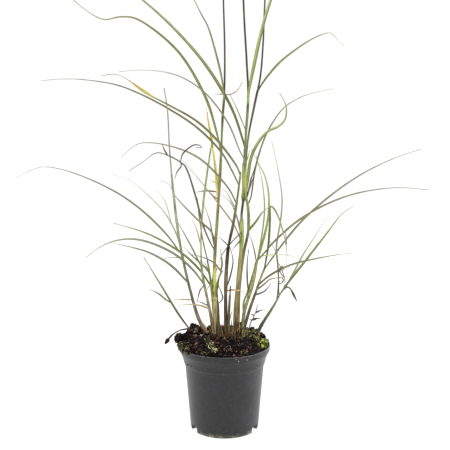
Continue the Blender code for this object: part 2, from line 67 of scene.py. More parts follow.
# Pot, outer radii and heights
POT_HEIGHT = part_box("pot")[1].z
LIP_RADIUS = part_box("pot")[1].x
FLARE_TOP = 140.5 * MM
FLARE_TOP_RADIUS = 79.6 * MM
FLARE_BOTTOM = 130.5 * MM
FLARE_RADIUS = 74.6 * MM
NECK_HEIGHT = 126.5 * MM
NECK_RADIUS = 73.2 * MM
STEP_TOP = 118.4 * MM
STEP_BOTTOM = 116.8 * MM
SHOULDER_RADIUS = 71.4 * MM
BODY_RADIUS = 69.7 * MM
FOOT_RADIUS = 60.1 * MM
POT_WALL = 1.6 * MM
EDGE_ROUND = 0.8 * MM
DRAIN_ANGLES = (-118.0, -62.0, 62.0, 118.0)
DRAIN_WIDTH = 21.0 * MM
DRAIN_HEIGHT = 9.5 * MM
DRAIN_DEPTH = 9.0 * MM
DRAIN_ROUND = 3.0 * MM
OUT_OF_ROUND = 0.0015           # share of the radius, at the lip

# Compost
SOIL_EDGE = 146.5 * MM
SOIL_CROWN = 167.5 * MM
MOUND_SHARPNESS = 5
SOIL_LUMP = 1.6 * MM
SETTLING = 6.5 * MM             # how far the loose compost has sunk at the front of the lip
BED_STEP = 0.7 * MM             # between the depths that are tried to find a point of the bed
CRUMBS, CHIPS, FIBRES, LIP_CRUMBS = 3000, 150, 1500, 280
CRUMBS_PER_CLOD, LEAFLETS_PER_SHOOT = 14, 6
# Least and greatest sizes in mm
SMALL_CRUMB, LARGE_CRUMB = (0.6, 1.6), (1.5, 3.2)
CHIP_LENGTH, FIBRE_LENGTH = (2.0, 5.0), (3.5, 8.5)
THREAD_LENGTH, THREAD_THICKNESS = (2.5, 6.0), (0.4, 0.85)
LEAFLET_WIDTH, LEAFLET_LENGTH = (0.6, 1.1), (1.4, 2.8)
CRUMB_SHARP = 35.0              # degrees between faces from which a crumb's edge is sharp
MOSS_FLOOR = 147.5 * MM         # no moss grows below this height
# Roughness of the loose compost: place in the noise, size and rise
BED_ROUGHNESS = ((0.3, 10 * MM, 3.0 * MM), (0.7, 4 * MM, 1.6 * MM))
# Heaps of the mound: x and y of the middle, radius, rise
SOIL_HEAPS = (
    (-54.0 * MM, 16.0 * MM, 15.0 * MM, 13.0 * MM),
    (48.0 * MM, 14.0 * MM, 18.0 * MM, 4.0 * MM),
)

# Grass
CULM_STEP = 1.5 * MM            # length between the sections of a culm
SAMPLE_STEP = 3.5 * MM          # length between the sections of a blade
CULM_SIDES = 14
PLANTING_DEPTH = 18 * MM
SHEATH_LENGTH = 55 * MM         # of a leaf sheath below its blade
CLASP_LENGTH = 22 * MM          # of a blade's foot that hugs its culm
COLLAR_SLANT = 2.4 * MM         # of a leaf sheath's upper end
TORN_SLANT = 3.5 * MM           # of an old sheath's upper end
BLADE_SKIN = 0.16 * MM          # thickness of a blade's tip, half of its foot's
BLADE_FOLD = 0.28               # rise of a blade's edges as a share of its half width
CLASP_FOLD = 0.55               # what hugging its culm adds to that
MIDRIB_GROOVE = 0.10 * MM       # of a blade's upper face
MIDRIB_RIDGE = 0.28 * MM        # of its lower face, at the foot
RIPPLE = 0.10                   # waves of a blade's edge as a share of its half width
RIPPLE_LENGTH = 5.5 * MM        # for one radian of such a wave
BLADE_THICKNESS = 0.7 * MM      # of the solid; the blade itself is thinner and folded
BLADE_FULLNESS = 1.08           # width of a dressed blade over the one in the tables
THINNEST_BLADE = 1.35           # width in mm, so that the finest blades show
# Joints of a culm: the swelling and the pinch above it as shares of the radius, places and reach in mm
JOINT_SWELLING, JOINT_REACH = 0.22, 1.7
JOINT_PINCH, PINCH_RISE, PINCH_REACH = 0.06, 4.0, 2.45
# Places across a blade's section, from one edge (-1) over the midrib to the other, and back underneath
ACROSS = (-1.0, -0.72, -0.4, -0.13, 0.0, 0.13, 0.4, 0.72, 1.0)
BACK_ACROSS = ACROSS[-2:0:-1]
# Section of a papery strip: height of the face in mm, places across it
STRIP_SECTION = ((0.12, (-1, -0.5, 0, 0.5, 1)), (-0.12, (0.9, 0.4, -0.4, -0.9)))

# Colours that the strands take along their length, as (share of the length, sRGB colour)
BLADE_LOOKS = {
    "fresh": ((0, "#68782a"), (0.1, "#617826"), (0.45, "#6f7932"), (0.8, "#80834a"), (1, "#938c5a")),
    "olive": ((0, "#697031"), (0.15, "#6b7333"), (0.5, "#757e46"), (0.85, "#85865f"), (1, "#908467")),
    "dark": ((0, "#4e542b"), (0.2, "#52592f"), (0.55, "#646843"), (0.85, "#777660"), (1, "#857c68")),
    "light": ((0, "#7f903b"), (0.2, "#7d923e"), (0.6, "#8b9754"), (1, "#9f9e6b")),
    "grey": ((0, "#636a3a"), (0.2, "#70755a"), (0.6, "#808269"), (1, "#918e77")),
    "lemon": ((0, "#cdbb84"), (0.25, "#d8c878"), (0.6, "#dccb58"), (0.85, "#c8aa48"), (1, "#7c7040")),
    "greying": ((0, "#6d7438"), (0.25, "#757a4c"), (0.5, "#7e7f66"), (0.8, "#868474"), (1, "#928f84")),
    "ashen": ((0, "#727650"), (0.25, "#929482"), (0.6, "#a2a298"), (1, "#aaa8a0")),
    "brown_footed": ((0, "#4c3c34"), (0.25, "#5c5036"), (0.4, "#6f7840"), (0.85, "#84905a"), (1, "#908a67")),
    "pale": ((0, "#828d4f"), (0.3, "#8c9164"), (0.7, "#949874"), (1, "#9e9a7f")),
    "cream": ((0, "#ccb88c"), (0.2, "#e2d2a4"), (0.45, "#e0d090"), (0.65, "#dcc458"), (0.85, "#c8a448"),
              (1, "#7c7040")),
    "yellow": ((0, "#b8a44c"), (0.25, "#ccb850"), (0.6, "#d0b848"), (0.85, "#b89040"), (1, "#75683e")),
    "yellow_tipped": ((0, "#5c642c"), (0.5, "#6c7434"), (0.66, "#8e9040"), (0.78, "#b8a442"),
                      (0.86, "#c8aa48"), (0.92, "#8a7850"), (1, "#70684e")),
    "dry_pink": ((0, "#806c52"), (0.3, "#a08a70"), (0.7, "#b29c82"), (1, "#98866e")),
    "dry_brown": ((0, "#5c4c30"), (0.35, "#5a4636"), (0.6, "#3c2c22"), (0.75, "#52423a"), (1, "#6c5c50")),
    "dead_tipped": ((0, "#a0a690"), (0.3, "#9c9c8c"), (0.46, "#4c3f36"), (1, "#32282a")),
    "purple": ((0, "#4c3c34"), (0.4, "#564842"), (0.75, "#5e554a"), (1, "#2c201e")),
    "straw": ((0, "#94805c"), (0.4, "#c4aa78"), (0.8, "#d6be8c"), (1, "#baa27a")),
}

# Culms: depth at the foot and at the top in mm, radius at the foot and at the top in mm,
# rows of the nodes, colours by row, route as (column, row) from the compost upwards
CULMS = {
    "culm_flowering_left": (6, 22, 2.5, 1.0, (301, 250, 176, 104), (
        (334, "#c5b378"), (305, "#d5c583"), (290, "#fbff85"), (276, "#f4ff81"), (266, "#eacb69"),
        (253, "#8d7842"), (238, "#9a9757"), (212, "#a2a361"), (192, "#9e9a53"), (172, "#929653"),
        (150, "#889655"), (130, "#838853"), (112, "#717149"), (100, "#4a3a32"), (78, "#5c4138"),
        (60, "#5a453c"), (40, "#4c443c"), (0, "#545048"), (-78, "#645c50")), (
        (216.6, 334), (215.2, 312), (214.5, 275), (215.1, 250), (217.2, 220), (219.1, 189), (220.7, 162),
        (222.5, 120), (224.4, 90), (224.7, 48), (223.4, 0), (222.6, -45), (222.6, -78))),
    "culm_flowering_middle": (-4, -8, 2.5, 1.0, (290, 246, 165, 97), (
        (335, "#a08b51"), (312, "#ac9754"), (290, "#b3a56b"), (270, "#beba7b"), (255, "#b7ba70"),
        (240, "#b4cd64"), (226, "#b0c569"), (214, "#556338"), (201, "#556336"), (194, "#9aa956"),
        (186, "#b1be5a"), (168, "#afbc62"), (160, "#798448"), (140, "#869255"), (110, "#7d8955"),
        (97, "#524438"), (80, "#45413a"), (62, "#5e483f"), (40, "#464440"), (0, "#4e4e48"),
        (-108, "#645c50")), (
        (234.5, 335), (235.6, 305), (238.9, 273), (241.6, 240), (241.6, 215), (244.2, 192), (244.4, 165),
        (245.9, 134), (248.2, 97), (246.6, 60), (244.0, 14), (242.0, -45), (240.6, -108))),
    "culm_flowering_right": (16, 36, 2.2, 0.9, (262, 231, 148, 90), (
        (333, "#867455"), (300, "#a79b6c"), (285, "#aea572"), (258, "#9d8967"), (240, "#775c51"),
        (228, "#99995e"), (205, "#adb373"), (180, "#8b925a"), (160, "#79824c"), (130, "#70774e"),
        (95, "#544c40"), (76, "#483e40"), (60, "#423949"), (44, "#50464a"), (30, "#5c4e3a"),
        (0, "#605848"), (-62, "#645c50")), (
        (237.9, 333), (239.6, 285), (243.3, 255), (248.2, 231), (248.2, 209), (245.6, 190), (246.0, 160),
        (248.8, 134), (254.5, 105), (260.4, 76), (263.0, 45), (264.0, 22), (266.2, -25), (269.0, -62))),
    "culm_brown_inner": (-26, -40, 2.0, 0.9, (291, 247, 204), (
        (336, "#6c5a38"), (312, "#625232"), (294, "#6e5b3a"), (286, "#8c7a62"), (272, "#8a7a60"),
        (262, "#524526"), (246, "#392b19"), (236, "#584638"), (222, "#746d47"), (206, "#808f50"),
        (172, "#768949")), (
        (226.0, 336), (225.6, 300), (226.1, 276), (228.3, 248), (233.4, 223), (237.1, 200), (240.8, 172))),
    "culm_green_inner": (-12, -42, 2.1, 0.8, (311, 268, 222), (
        (335, "#836f49"), (314, "#9a8c6c"), (290, "#aeaf84"), (250, "#bfcd8e"), (205, "#abba7b"),
        (170, "#a2b771"), (144, "#9fba75")), (
        (213.4, 335), (210.7, 315), (206.5, 295), (202.4, 274), (200.9, 246), (202.6, 210), (207.0, 174),
        (211.6, 144))),
    "culm_olive_inner": (24, 58, 1.9, 0.7, (283, 244), (
        (331, "#998a5e"), (300, "#a39e66"), (280, "#9ea964"), (260, "#8e9b61"), (240, "#8e9964"),
        (198, "#9ea182")), (
        (215.6, 331), (213.8, 313), (210.8, 283), (207.6, 261), (203.6, 244), (199.6, 220), (197.2, 198))),
    "culm_left_outer": (2, -26, 2.3, 0.8, (304, 281, 255), (
        (334, "#a58d7e"), (318, "#a3907e"), (300, "#857f62"), (285, "#838662"), (255, "#8f9b6d"),
        (235, "#aabc8c"), (190, "#adbc97"), (160, "#a3ab91"), (120, "#a3a5a2"), (88, "#a4a5a8")), (
        (206.5, 334), (198.0, 317), (191.2, 294), (184.2, 265), (178.4, 234), (173.2, 191), (169.6, 150),
        (167.6, 112), (164.0, 88))),
    "culm_right_green": (-14, -30, 2.1, 1.1, (296, 279), (
        (336, "#625f44"), (322, "#8c9262"), (300, "#a5ad74"), (285, "#a9b272"), (270, "#b2bc7c"),
        (261, "#b0be76")), (
        (242.0, 336), (243.9, 314), (249.0, 296), (253.5, 279), (256.5, 261))),
    "culm_right_olive": (12, 26, 2.0, 1.1, (294,), (
        (333, "#776543"), (310, "#83734e"), (294, "#958b65"), (286, "#b9b77b"), (268, "#b7c377")), (
        (243.0, 333), (249.2, 311), (255.1, 294), (261.0, 277), (264.7, 268))),
    "culm_right_outer": (-8, -20, 1.7, 0.9, (311,), (
        (336, "#564b40"), (324, "#5c5846"), (310, "#858a62"), (293, "#a0ac78")), (
        (256.0, 336), (262.0, 324), (270.5, 311), (276.4, 301), (280.4, 293))),
    "culm_centre_short": (-26, -34, 1.5, 0.7, (287,), (
        (337, "#72633f"), (312, "#5e5741"), (287, "#747d51"), (271, "#869d5c")), (
        (218.8, 337), (218.2, 308), (216.9, 287), (219.9, 275), (222.0, 271))),
    "culm_dead_stub": (-30, -34, 1.4, 1.0, (303,), (
        (338, "#6e5b45"), (312, "#685b50"), (296, "#75685d"), (286, "#52433c")), (
        (228.5, 338), (229.0, 313), (230.5, 286))),
}

# What the skin of a culm's sheaths adds to its solid's radius at the foot and at the top in mm
FULLER = {
    "culm_flowering_left": (0.2, 0.2), "culm_flowering_middle": (0.2, 0.4),
    "culm_flowering_right": (0.2, 0.45), "culm_brown_inner": (0.5, 0.25),
    "culm_green_inner": (0.0, 0.2), "culm_olive_inner": (0.2, 0.25),
    "culm_left_outer": (0.2, 0.1), "culm_right_green": (0.4, 0.6),
    "culm_right_olive": (0.2, 0.4), "culm_right_outer": (0.3, 0.4),
    "culm_centre_short": (0.25, 0.25), "culm_dead_stub": (0.2, 0.2),
}

# Old leaf sheaths that thicken a culm: row at the lower and the upper end, extra radius in mm
OLD_SHEATHS = {
    "culm_flowering_left": ((334, 301, 0.9), (301, 268, 1.1), (266, 232, 0.7), (234, 204, 0.6),
                            (206, 160, 0.7)),
    "culm_flowering_middle": ((335, 288, 0.6), (290, 246, 1.1), (250, 220, 1.9), (202, 182, 2.4),
                              (190, 164, 2.2)),
    "culm_flowering_right": ((333, 290, 0.5), (290, 254, 1.0), (256, 230, 0.6), (229, 200, 0.9)),
    "culm_brown_inner": ((336, 292, 1.1), (296, 262, 1.5), (268, 246, 1.4), (246, 204, 1.0)),
    "culm_green_inner": ((335, 302, 1.0), (306, 262, 0.7), (222, 150, 0.6)),
    "culm_olive_inner": ((331, 296, 0.7), (298, 262, 0.6)),
    "culm_left_outer": ((334, 304, 1.1), (306, 276, 0.4), (256, 176, 0.7)),
    "culm_right_green": ((336, 298, 0.9), (302, 262, 1.5)),
    "culm_right_olive": ((333, 292, 1.0), (294, 272, 0.6)),
    "culm_right_outer": ((336, 308, 1.2), (312, 295, 0.7)),
    "culm_centre_short": ((337, 302, 0.9),),
    "culm_dead_stub": ((338, 296, 1.0),),
}

# Blades: look, culm, side of it (-1 front, 1 back, more if it starts further off), depth at the tip
# and width in mm, turn of the face at the tip in degrees, row where the blade leaves its culm, route
# from there to the tip
BLADES = {
    "leaf_upper_left_1": ("fresh", "culm_flowering_left", -1, -120, 4.2, 40, 152, (
        (216, 130), (206, 98.5), (186, 62), (165, 38.7), (138, 19.6), (120, 17), (104, 19.6), (89, 12.4),
        (72, -1))),
    "leaf_upper_left_2": ("olive", "culm_flowering_middle", 1, 190, 5.0, 30, 148, (
        (232.5, 110), (210, 71), (186, 41), (157.4, 12.4), (128, -11), (105, -23), (84, -28))),
    "leaf_upper_left_3": ("greying", "culm_flowering_left", -1, -80, 3.6, 85, 97, (
        (222, 80), (218, 62), (209, 30), (201, 14), (190, -7), (176, -24), (160, -36))),
    "leaf_upper_left_4": ("yellow_tipped", "culm_brown_inner", -1, -70, 3.8, 55, 176, (
        (235.6, 164.5), (217.7, 141), (195.7, 120.6), (167, 104.3), (143, 91.8), (127.5, 79.6), (115, 74.3),
        (101, 76))),
    "leaf_upper_left_5": ("dark", "culm_brown_inner", 1, 90, 3.4, 55, 186, (
        (232.5, 171.8), (220, 150.5), (195.7, 126.6), (167, 108), (140.4, 94.2), (114.5, 84.5), (82, 79.6),
        (60, 79.2), (41, 80.8))),
    "leaf_upper_left_6": ("grey", "culm_flowering_middle", -1, -210, 2.6, 60, 160, (
        (239, 149), (228.5, 124), (210, 98), (190.9, 82.3), (169.8, 73.2), (143, 70.2), (119, 71.8))),
    "leaf_upper_left_7": ("lemon", "culm_flowering_left", 1, 60, 4.4, 60, 197, (
        (216.5, 175), (213.8, 153.6), (211, 138), (208, 121), (206.6, 108), (208.8, 101))),
    "leaf_upper_right_1": ("light", "culm_flowering_middle", -1, -150, 5.4, 35, 100, (
        (248.8, 91), (253.6, 67), (259.3, 40), (266, 14.4), (275, -11), (288, -34), (304, -50))),
    "leaf_upper_right_2": ("olive", "culm_flowering_right", 1, 130, 3.6, 50, 92, (
        (265.1, 79.4), (279.4, 62.7), (295.7, 49.7), (311, 39.7), (325, 33.6), (332, 34), (338.7, 41),
        (344, 46))),
    "leaf_upper_right_3": ("light", "culm_flowering_right", -1, -90, 5.0, 25, 194, (
        (248, 178), (250, 162), (254, 150), (261, 138.3), (268.9, 130.6), (278, 126.5), (285, 119),
        (286, 106), (279.4, 92.8))),
    "leaf_upper_right_4": ("dark", "culm_flowering_right", 1, 210, 3.0, 55, 206, (
        (251.4, 195), (255, 170), (262, 145), (271, 125.5), (283.5, 108.3), (300, 97.6), (316, 92.3),
        (334, 88.5))),
    "leaf_upper_right_5": ("grey", "culm_right_outer", 1, 230, 3.0, 30, 297, (
        (278.6, 280), (277.6, 262), (276.4, 248), (278, 235.8), (281.3, 214.8), (281.8, 194), (276.5, 162),
        (271.7, 141))),
    "leaf_middle_right_1": ("greying", "culm_right_olive", 1, 130, 3.5, 35, 270, (
        (275, 254.3), (289.4, 235.3), (305.2, 217.7), (332, 194.5), (361, 174.6), (391.8, 159.3),
        (420.5, 149.3))),
    "leaf_middle_right_2": ("greying", "culm_right_green", -1, -70, 3.4, 45, 262, (
        (263.6, 253.7), (277, 238.8), (300, 219.3), (328.7, 203.3), (359.3, 192.8), (395.7, 187.8),
        (429, 189.9))),
    "leaf_middle_right_3": ("olive", "culm_right_outer", -1, -190, 4.0, 45, 296, (
        (287, 284), (304.9, 261.2), (326.8, 233), (341, 214.8), (353.5, 206))),
    "leaf_middle_right_4": ("pale", "culm_right_outer", 1, 100, 3.4, 50, 295, (
        (288, 283), (303.8, 253.7), (315.3, 236), (326, 218.5))),
    "leaf_middle_right_5": ("light", "culm_right_green", 1, 110, 4.0, 50, 266, (
        (261.2, 247.8), (267.9, 219.6), (269, 196), (265.1, 176.5), (257.4, 161), (249, 144))),
    "leaf_middle_right_6": ("olive", "culm_right_olive", -1, -120, 3.8, 55, 269, (
        (268.2, 247), (270, 222), (270.4, 207), (275, 210.5), (281, 225), (286.5, 250), (286, 276))),
    "leaf_middle_right_7": ("light", "culm_right_green", -1.8, -130, 2.6, 50, 268, (
        (261, 240), (264.4, 210), (262, 181), (256, 155))),
    "leaf_middle_right_8": ("fresh", "culm_flowering_right", 1, 60, 4.2, 40, 231, (
        (255.5, 222.3), (262, 213), (269, 207))),
    "leaf_lower_right_1": ("grey", "culm_right_olive", -1, -70, 3.8, 45, 286, (
        (266.5, 277.8), (278.5, 270.4), (295.2, 263.5), (315.3, 258.9), (335.4, 255.1), (351, 253.4))),
    "leaf_lower_right_2": ("greying", "culm_right_olive", 1, 60, 3.2, 50, 290, (
        (263.6, 284.7), (270, 279.4), (278, 277.8), (287, 276.4))),
    "leaf_lower_right_3": ("purple", "culm_right_olive", -1, -14, 3.0, 30, 295, (
        (260, 293.4), (265.5, 290.5), (271, 283.4))),
    "leaf_lower_right_4": ("dead_tipped", "culm_right_outer", -2.4, -90, 2.8, 10, 294, (
        (286, 287.6), (291, 289.5), (296.5, 301))),
    "leaf_middle_left_1": ("dark", "culm_brown_inner", 1, 180, 3.4, 55, 204, (
        (228.2, 188), (208, 165.5), (190.9, 153.6), (169.8, 146), (150, 142.8), (136, 144.9), (121.5, 157))),
    "leaf_middle_left_2": ("dark", "culm_flowering_middle", 1, 100, 3.0, 45, 238, (
        (239.2, 226), (236.4, 215.5), (231, 203), (222, 195))),
    "leaf_middle_left_3": ("dry_pink", "culm_flowering_middle", -1, -110, 2.6, 60, 242, (
        (234, 225), (218.6, 204), (205, 187), (191, 170), (182, 160))),
    "leaf_middle_left_4": ("dry_brown", "culm_flowering_left", -1, -90, 3.2, 45, 252, (
        (204, 228), (195.7, 197), (187, 170), (180, 162), (168, 155.6), (156, 153), (145, 160.5),
        (129, 171))),
    "leaf_middle_left_5": ("greying", "culm_left_outer", -1, -90, 3.3, 70, 255, (
        (167, 235), (147.8, 215.6), (128.7, 200.4), (110, 189), (86, 177.8), (61, 169.4), (40, 167.4),
        (17, 177))),
    "leaf_middle_left_6": ("ashen", "culm_left_outer", 1, 190, 2.8, 50, 246, (
        (175.3, 231.5), (165, 213), (149.7, 196.6), (130.6, 180.8), (112, 174.2))),
    "leaf_middle_left_7": ("dark", "culm_flowering_left", 1, 150, 3.4, 50, 246, (
        (210.9, 231.1), (196, 218), (176.5, 197.6), (169.5, 185), (161, 180.6))),
    "leaf_middle_left_8": ("grey", "culm_flowering_left", -2, -100, 2.6, 50, 250, (
        (212.4, 236.5), (210, 222), (204, 205))),
    "leaf_middle_left_9": ("grey", "culm_green_inner", -1, -180, 2.8, 50, 268, (
        (193.8, 251.5), (186, 237), (176, 219))),
    "leaf_lower_left_1": ("fresh", "culm_olive_inner", 1, 130, 4.0, 25, 287, (
        (200.2, 270.5), (183, 254), (158.7, 238.9), (138.5, 230.3), (113, 223))),
    "leaf_lower_left_2": ("olive", "culm_olive_inner", -1, -10, 3.4, 50, 273, (
        (204, 266.3), (194, 257.6), (183, 246.4))),
    "leaf_lower_left_3": ("grey", "culm_green_inner", -1, -150, 3.8, 25, 286, (
        (194, 271), (176, 255), (152.6, 243.5), (132, 239), (113, 241.4), (97.6, 248.6), (86, 257.5))),
    "leaf_lower_left_4": ("grey", "culm_left_outer", 1, 60, 4.2, 50, 283, (
        (174.5, 268.6), (161, 258.8), (142.8, 250.4), (110, 242.5))),
    "leaf_lower_left_5": ("grey", "culm_centre_short", -1, -60, 3.0, 50, 272, (
        (214, 263), (203, 257.4), (189, 254))),
    "leaf_lower_left_6": ("grey", "culm_flowering_middle", -2, -60, 2.4, 50, 232, (
        (232, 241.7), (221.5, 255.5), (217, 270))),
    "leaf_lower_left_8": ("straw", "culm_green_inner", -1, -38, 3.2, 40, 309, (
        (202, 306), (190, 304.3), (179, 305.3))),
}

# Blade that comes straight out of the compost: look, depth at the foot and at the tip in mm, width in mm,
# turn of the face at the tip in degrees, route
GROUND_BLADES = {
    "leaf_lower_left_7": ("brown_footed", 4, -90, 3.6, 10, (
        (192.5, 333), (178, 313.3), (161.9, 286.7), (149, 265.7), (143.5, 257))),
}

# Hair-thin blades and dry ends, like BLADES but growing from any stem or blade
WISPS = {
    "wisp_top_hair": ("grey", "culm_flowering_middle", -1, -40, 2.0, 40, 131, ((236.4, 108), (230, 95))),
    "wisp_top_curl": ("dry_pink", "culm_flowering_left", -1, -12, 2.0, 30, 94, (
        (229, 94.6), (235, 92), (239, 88), (242, 82))),
    "wisp_top_stub": ("dry_pink", "culm_flowering_left", 1, 30, 2.0, 30, 94, ((219, 94.2), (215, 94.3))),
    "wisp_top_sheath": ("yellow", "culm_flowering_left", 1, 26, 2.4, 30, 99, ((223, 88), (221, 76))),
    "wisp_right_curl": ("dark", "culm_right_outer", -1, -50, 2.4, 50, 301, (
        (278.4, 284), (277.8, 268), (275, 251), (268.8, 240))),
    "wisp_right_loop": ("dark", "wisp_right_curl", -1, -52, 2.2, 40, 284, (
        (281.5, 283), (283.4, 280), (281.4, 277.4), (278.6, 279), (280, 282))),
    "wisp_right_arch": ("dark", "culm_right_green", 1, 4, 2.4, 50, 262, ((253.6, 247), (249.5, 234))),
    "wisp_right_pale": ("pale", "culm_right_green", 1, 60, 2.2, 50, 263, (
        (262.5, 256), (283, 254.9), (294, 257), (300.5, 262))),
    "wisp_right_dark_1": ("purple", "culm_flowering_right", -1, 14, 3.2, 40, 199, (
        (249.6, 186), (250.6, 180), (252.6, 174), (255, 166))),
    "wisp_right_dark_2": ("purple", "culm_flowering_right", 1, 60, 2.7, 40, 196, (
        (250.4, 186), (251.6, 182), (253.8, 176))),
    "wisp_right_top": ("grey", "culm_flowering_right", 1, 50, 2.0, 40, 163, ((247.8, 157.4), (249.8, 150))),
    "wisp_broken_blade": ("purple", "culm_right_green", -1, -24, 2.8, 20, 296, (
        (247.3, 280), (247.3, 262), (248.9, 249))),
    "wisp_right_droop": ("grey", "leaf_upper_right_5", 1, 70, 2.0, 40, 262, (
        (281, 268), (285, 280), (283, 290))),
    "wisp_right_stub": ("purple", "wisp_right_curl", 1, -20, 2.7, 20, 273, ((280.5, 269), (283.4, 265.4))),
    "wisp_right_thread": ("grey", "leaf_middle_right_6", 1, -60, 2.0, 40, 245, ((286.5, 243), (285.4, 229))),
    "wisp_right_dash": ("purple", "leaf_lower_right_4", -1, -88, 3.9, 10, 289.5, (
        (293, 293.5), (296.8, 301.2))),
    "wisp_left_yellow": ("yellow", "leaf_upper_left_4", -1, -76, 4.0, 40, 98, (
        (146.5, 92.8), (140, 88.4), (134, 84), (129, 80.8))),
    "wisp_left_lemon": ("yellow", "leaf_upper_left_7", -1, 48, 3.6, 40, 148, (
        (211.6, 138), (209, 124), (207.4, 112))),
    "wisp_right_spiral": ("grey", "wisp_right_droop", -1, 60, 2.1, 40, 278, (
        (281.4, 274), (279.6, 269), (281.6, 266), (283.6, 268.6), (282, 272))),
    "wisp_left_hair_1": ("grey", "culm_left_outer", 1, 40, 1.9, 40, 258, ((169.6, 257.5), (164, 259.3))),
    "wisp_left_hair_2": ("grey", "leaf_lower_left_7", -1, -60, 3.0, 20, 303, (
        (165, 299), (158.7, 293.8), (149.8, 289.3))),
    "wisp_left_hair_3": ("grey", "culm_green_inner", 1, 60, 2.3, 40, 246, (
        (198, 234), (195.7, 227), (192, 219))),
    "wisp_left_hair_4": ("pale", "leaf_middle_left_6", 1, 190, 2.0, 40, 223, ((165, 201), (156, 190))),
    "wisp_left_hair_5": ("pale", "culm_brown_inner", 1, -10, 2.0, 40, 209, (
        (226.4, 192), (222.2, 189.8))),
    "wisp_left_cream": ("cream", "culm_flowering_left", -1, 8, 3.8, 10, 205, (
        (217.6, 196), (216.4, 184), (215.2, 172), (214.2, 162))),
    "wisp_left_dry_1": ("dry_brown", "culm_flowering_left", 1, 34, 2.6, 30, 192, (
        (213, 191.4), (207.5, 190.8), (202, 191.2), (196.5, 192.3))),
    "wisp_left_dry_2": ("dry_pink", "culm_flowering_left", -1, 4, 2.4, 30, 200, (
        (213, 195.5), (211, 193.2))),
    "wisp_left_dry_3": ("straw", "culm_flowering_left", 1, 22, 2.4, 30, 183, ((214.2, 182), (210, 179.5))),
    "wisp_left_curl_1": ("dry_brown", "leaf_middle_left_4", -1, -60, 2.3, 30, 162, (
        (181.2, 166), (177, 172), (174.5, 179))),
    "wisp_left_curl_2": ("dry_brown", "leaf_middle_left_4", 1, -50, 2.4, 30, 156, (
        (165, 151), (162, 144))),
    "wisp_left_curl_3": ("dry_brown", "leaf_middle_left_4", -1, -50, 2.3, 30, 162, (
        (183, 153.6), (191.8, 146), (198.5, 145), (202, 147.8), (195.7, 147))),
    "wisp_low_straw": ("straw", "culm_left_outer", -1, -14, 2.4, 20, 300, ((184, 299.4), (174, 299.8))),
    "wisp_low_droop_1": ("purple", "culm_green_inner", 1, 6, 2.4, 20, 285, (
        (200.7, 289.3), (199, 293.5), (197.8, 299), (197.3, 301.5))),
    "wisp_low_droop_2": ("grey", "culm_green_inner", -1, -22, 2.2, 20, 306, (
        (200.7, 302.3), (197.2, 301.4))),
    "wisp_low_droop_3": ("grey", "culm_olive_inner", -1, 10, 2.0, 20, 284, ((208.5, 287), (207, 289.6))),
    "wisp_centre_thread": ("grey", "culm_brown_inner", -1, -30, 2.2, 30, 246, ((224, 241.5), (219, 237))),
    "wisp_centre_dark_1": ("purple", "culm_brown_inner", 1, -18, 2.6, 20, 290, (
        (229.7, 278.4), (232.9, 264), (232.4, 256), (230, 247))),
    "wisp_centre_dark_2": ("dark", "culm_flowering_middle", -1, -24, 2.4, 30, 239, (
        (235.3, 246), (232, 250.5))),
    "wisp_centre_green_1": ("fresh", "culm_centre_short", -1, -40, 3.2, 30, 274, (
        (222, 264), (221.4, 257.4), (220.4, 249))),
    "wisp_centre_green_2": ("fresh", "culm_flowering_left", -1, -4, 2.8, 20, 300, (
        (212.2, 288), (212.8, 274))),
    "wisp_centre_green_3": ("fresh", "culm_flowering_left", -1, -8, 3.0, 20, 300, (
        (217.4, 288), (219.4, 277), (223.4, 270))),
    "wisp_centre_green_4": ("light", "culm_flowering_left", 1, 10, 2.6, 20, 296, (
        (214.8, 284), (216.6, 268))),
    "wisp_centre_green_5": ("olive", "culm_flowering_left", -1, -14, 3.2, 20, 292, (
        (211.0, 281), (208.2, 271), (204.4, 262))),
    "wisp_centre_straw": ("straw", "culm_brown_inner", -1, -44, 3.0, 20, 291, (
        (231, 290), (237, 290.4), (241, 290.7), (245, 293.7))),
    "wisp_centre_grey": ("purple", "culm_centre_short", -1, -32, 2.3, 20, 304, (
        (222.6, 298), (219.5, 288), (217.4, 283))),
    "wisp_twin_stem": ("light", "culm_right_green", 1, -26, 3.2, 20, 318, (
        (243.6, 303), (247.4, 292), (251.3, 278), (254.8, 265))),
}

# Dead sheaths and stubble round the feet of the culms: column and row of the foot, column and row of the
# end, depth that the end leans in mm, width in mm, tone
STUBBLE = (
    (228.0, 331, 232.6, 309, -4, 2.6, 0.95), (229.6, 334, 229.2, 313, -2, 2.8, 0.15),
    (234.0, 335, 240.8, 326, -6, 3.0, 0.9), (232.4, 336, 231.6, 320, -3, 3.0, 0.55),
    (236.6, 336, 236.0, 315, -4, 2.4, 0.3), (239.4, 336, 238.4, 314, -2, 2.2, 0.8),
    (238.2, 337, 242.4, 328, -4, 2.6, 0.2), (225.4, 336, 224.4, 318, -4, 2.8, 0.85),
    (227.0, 337, 228.0, 323, -5, 2.6, 0.4), (216.0, 336, 215.4, 316, -4, 2.6, 0.95),
    (217.6, 337, 217.0, 318, -3, 2.2, 0.1), (218.8, 337, 219.6, 321, -4, 2.6, 0.75),
    (220.8, 334, 222.2, 322, 4, 2.6, 0.5), (213.2, 335, 212.0, 322, -3, 2.6, 0.7),
    (210.4, 334, 208.8, 326, -6, 2.6, 0.62), (207.6, 334, 202.8, 322, -3, 2.8, 0.9),
    (205.4, 336, 200.0, 326, -6, 2.2, 0.3), (223.4, 338, 221.6, 328, -8, 2.8, 0.6),
    (230.6, 339, 233.0, 329, -6, 2.8, 0.8), (235.4, 339, 233.4, 329, -5, 2.4, 0.45),
    (242.4, 338, 246.0, 330, -6, 2.6, 0.7), (244.0, 335, 240.6, 322, -2, 2.2, 0.35),
    (257.0, 336, 261.6, 328.5, -4, 2.6, 0.85), (259.4, 335, 256.2, 330.0, -4, 2.2, 0.5),
)
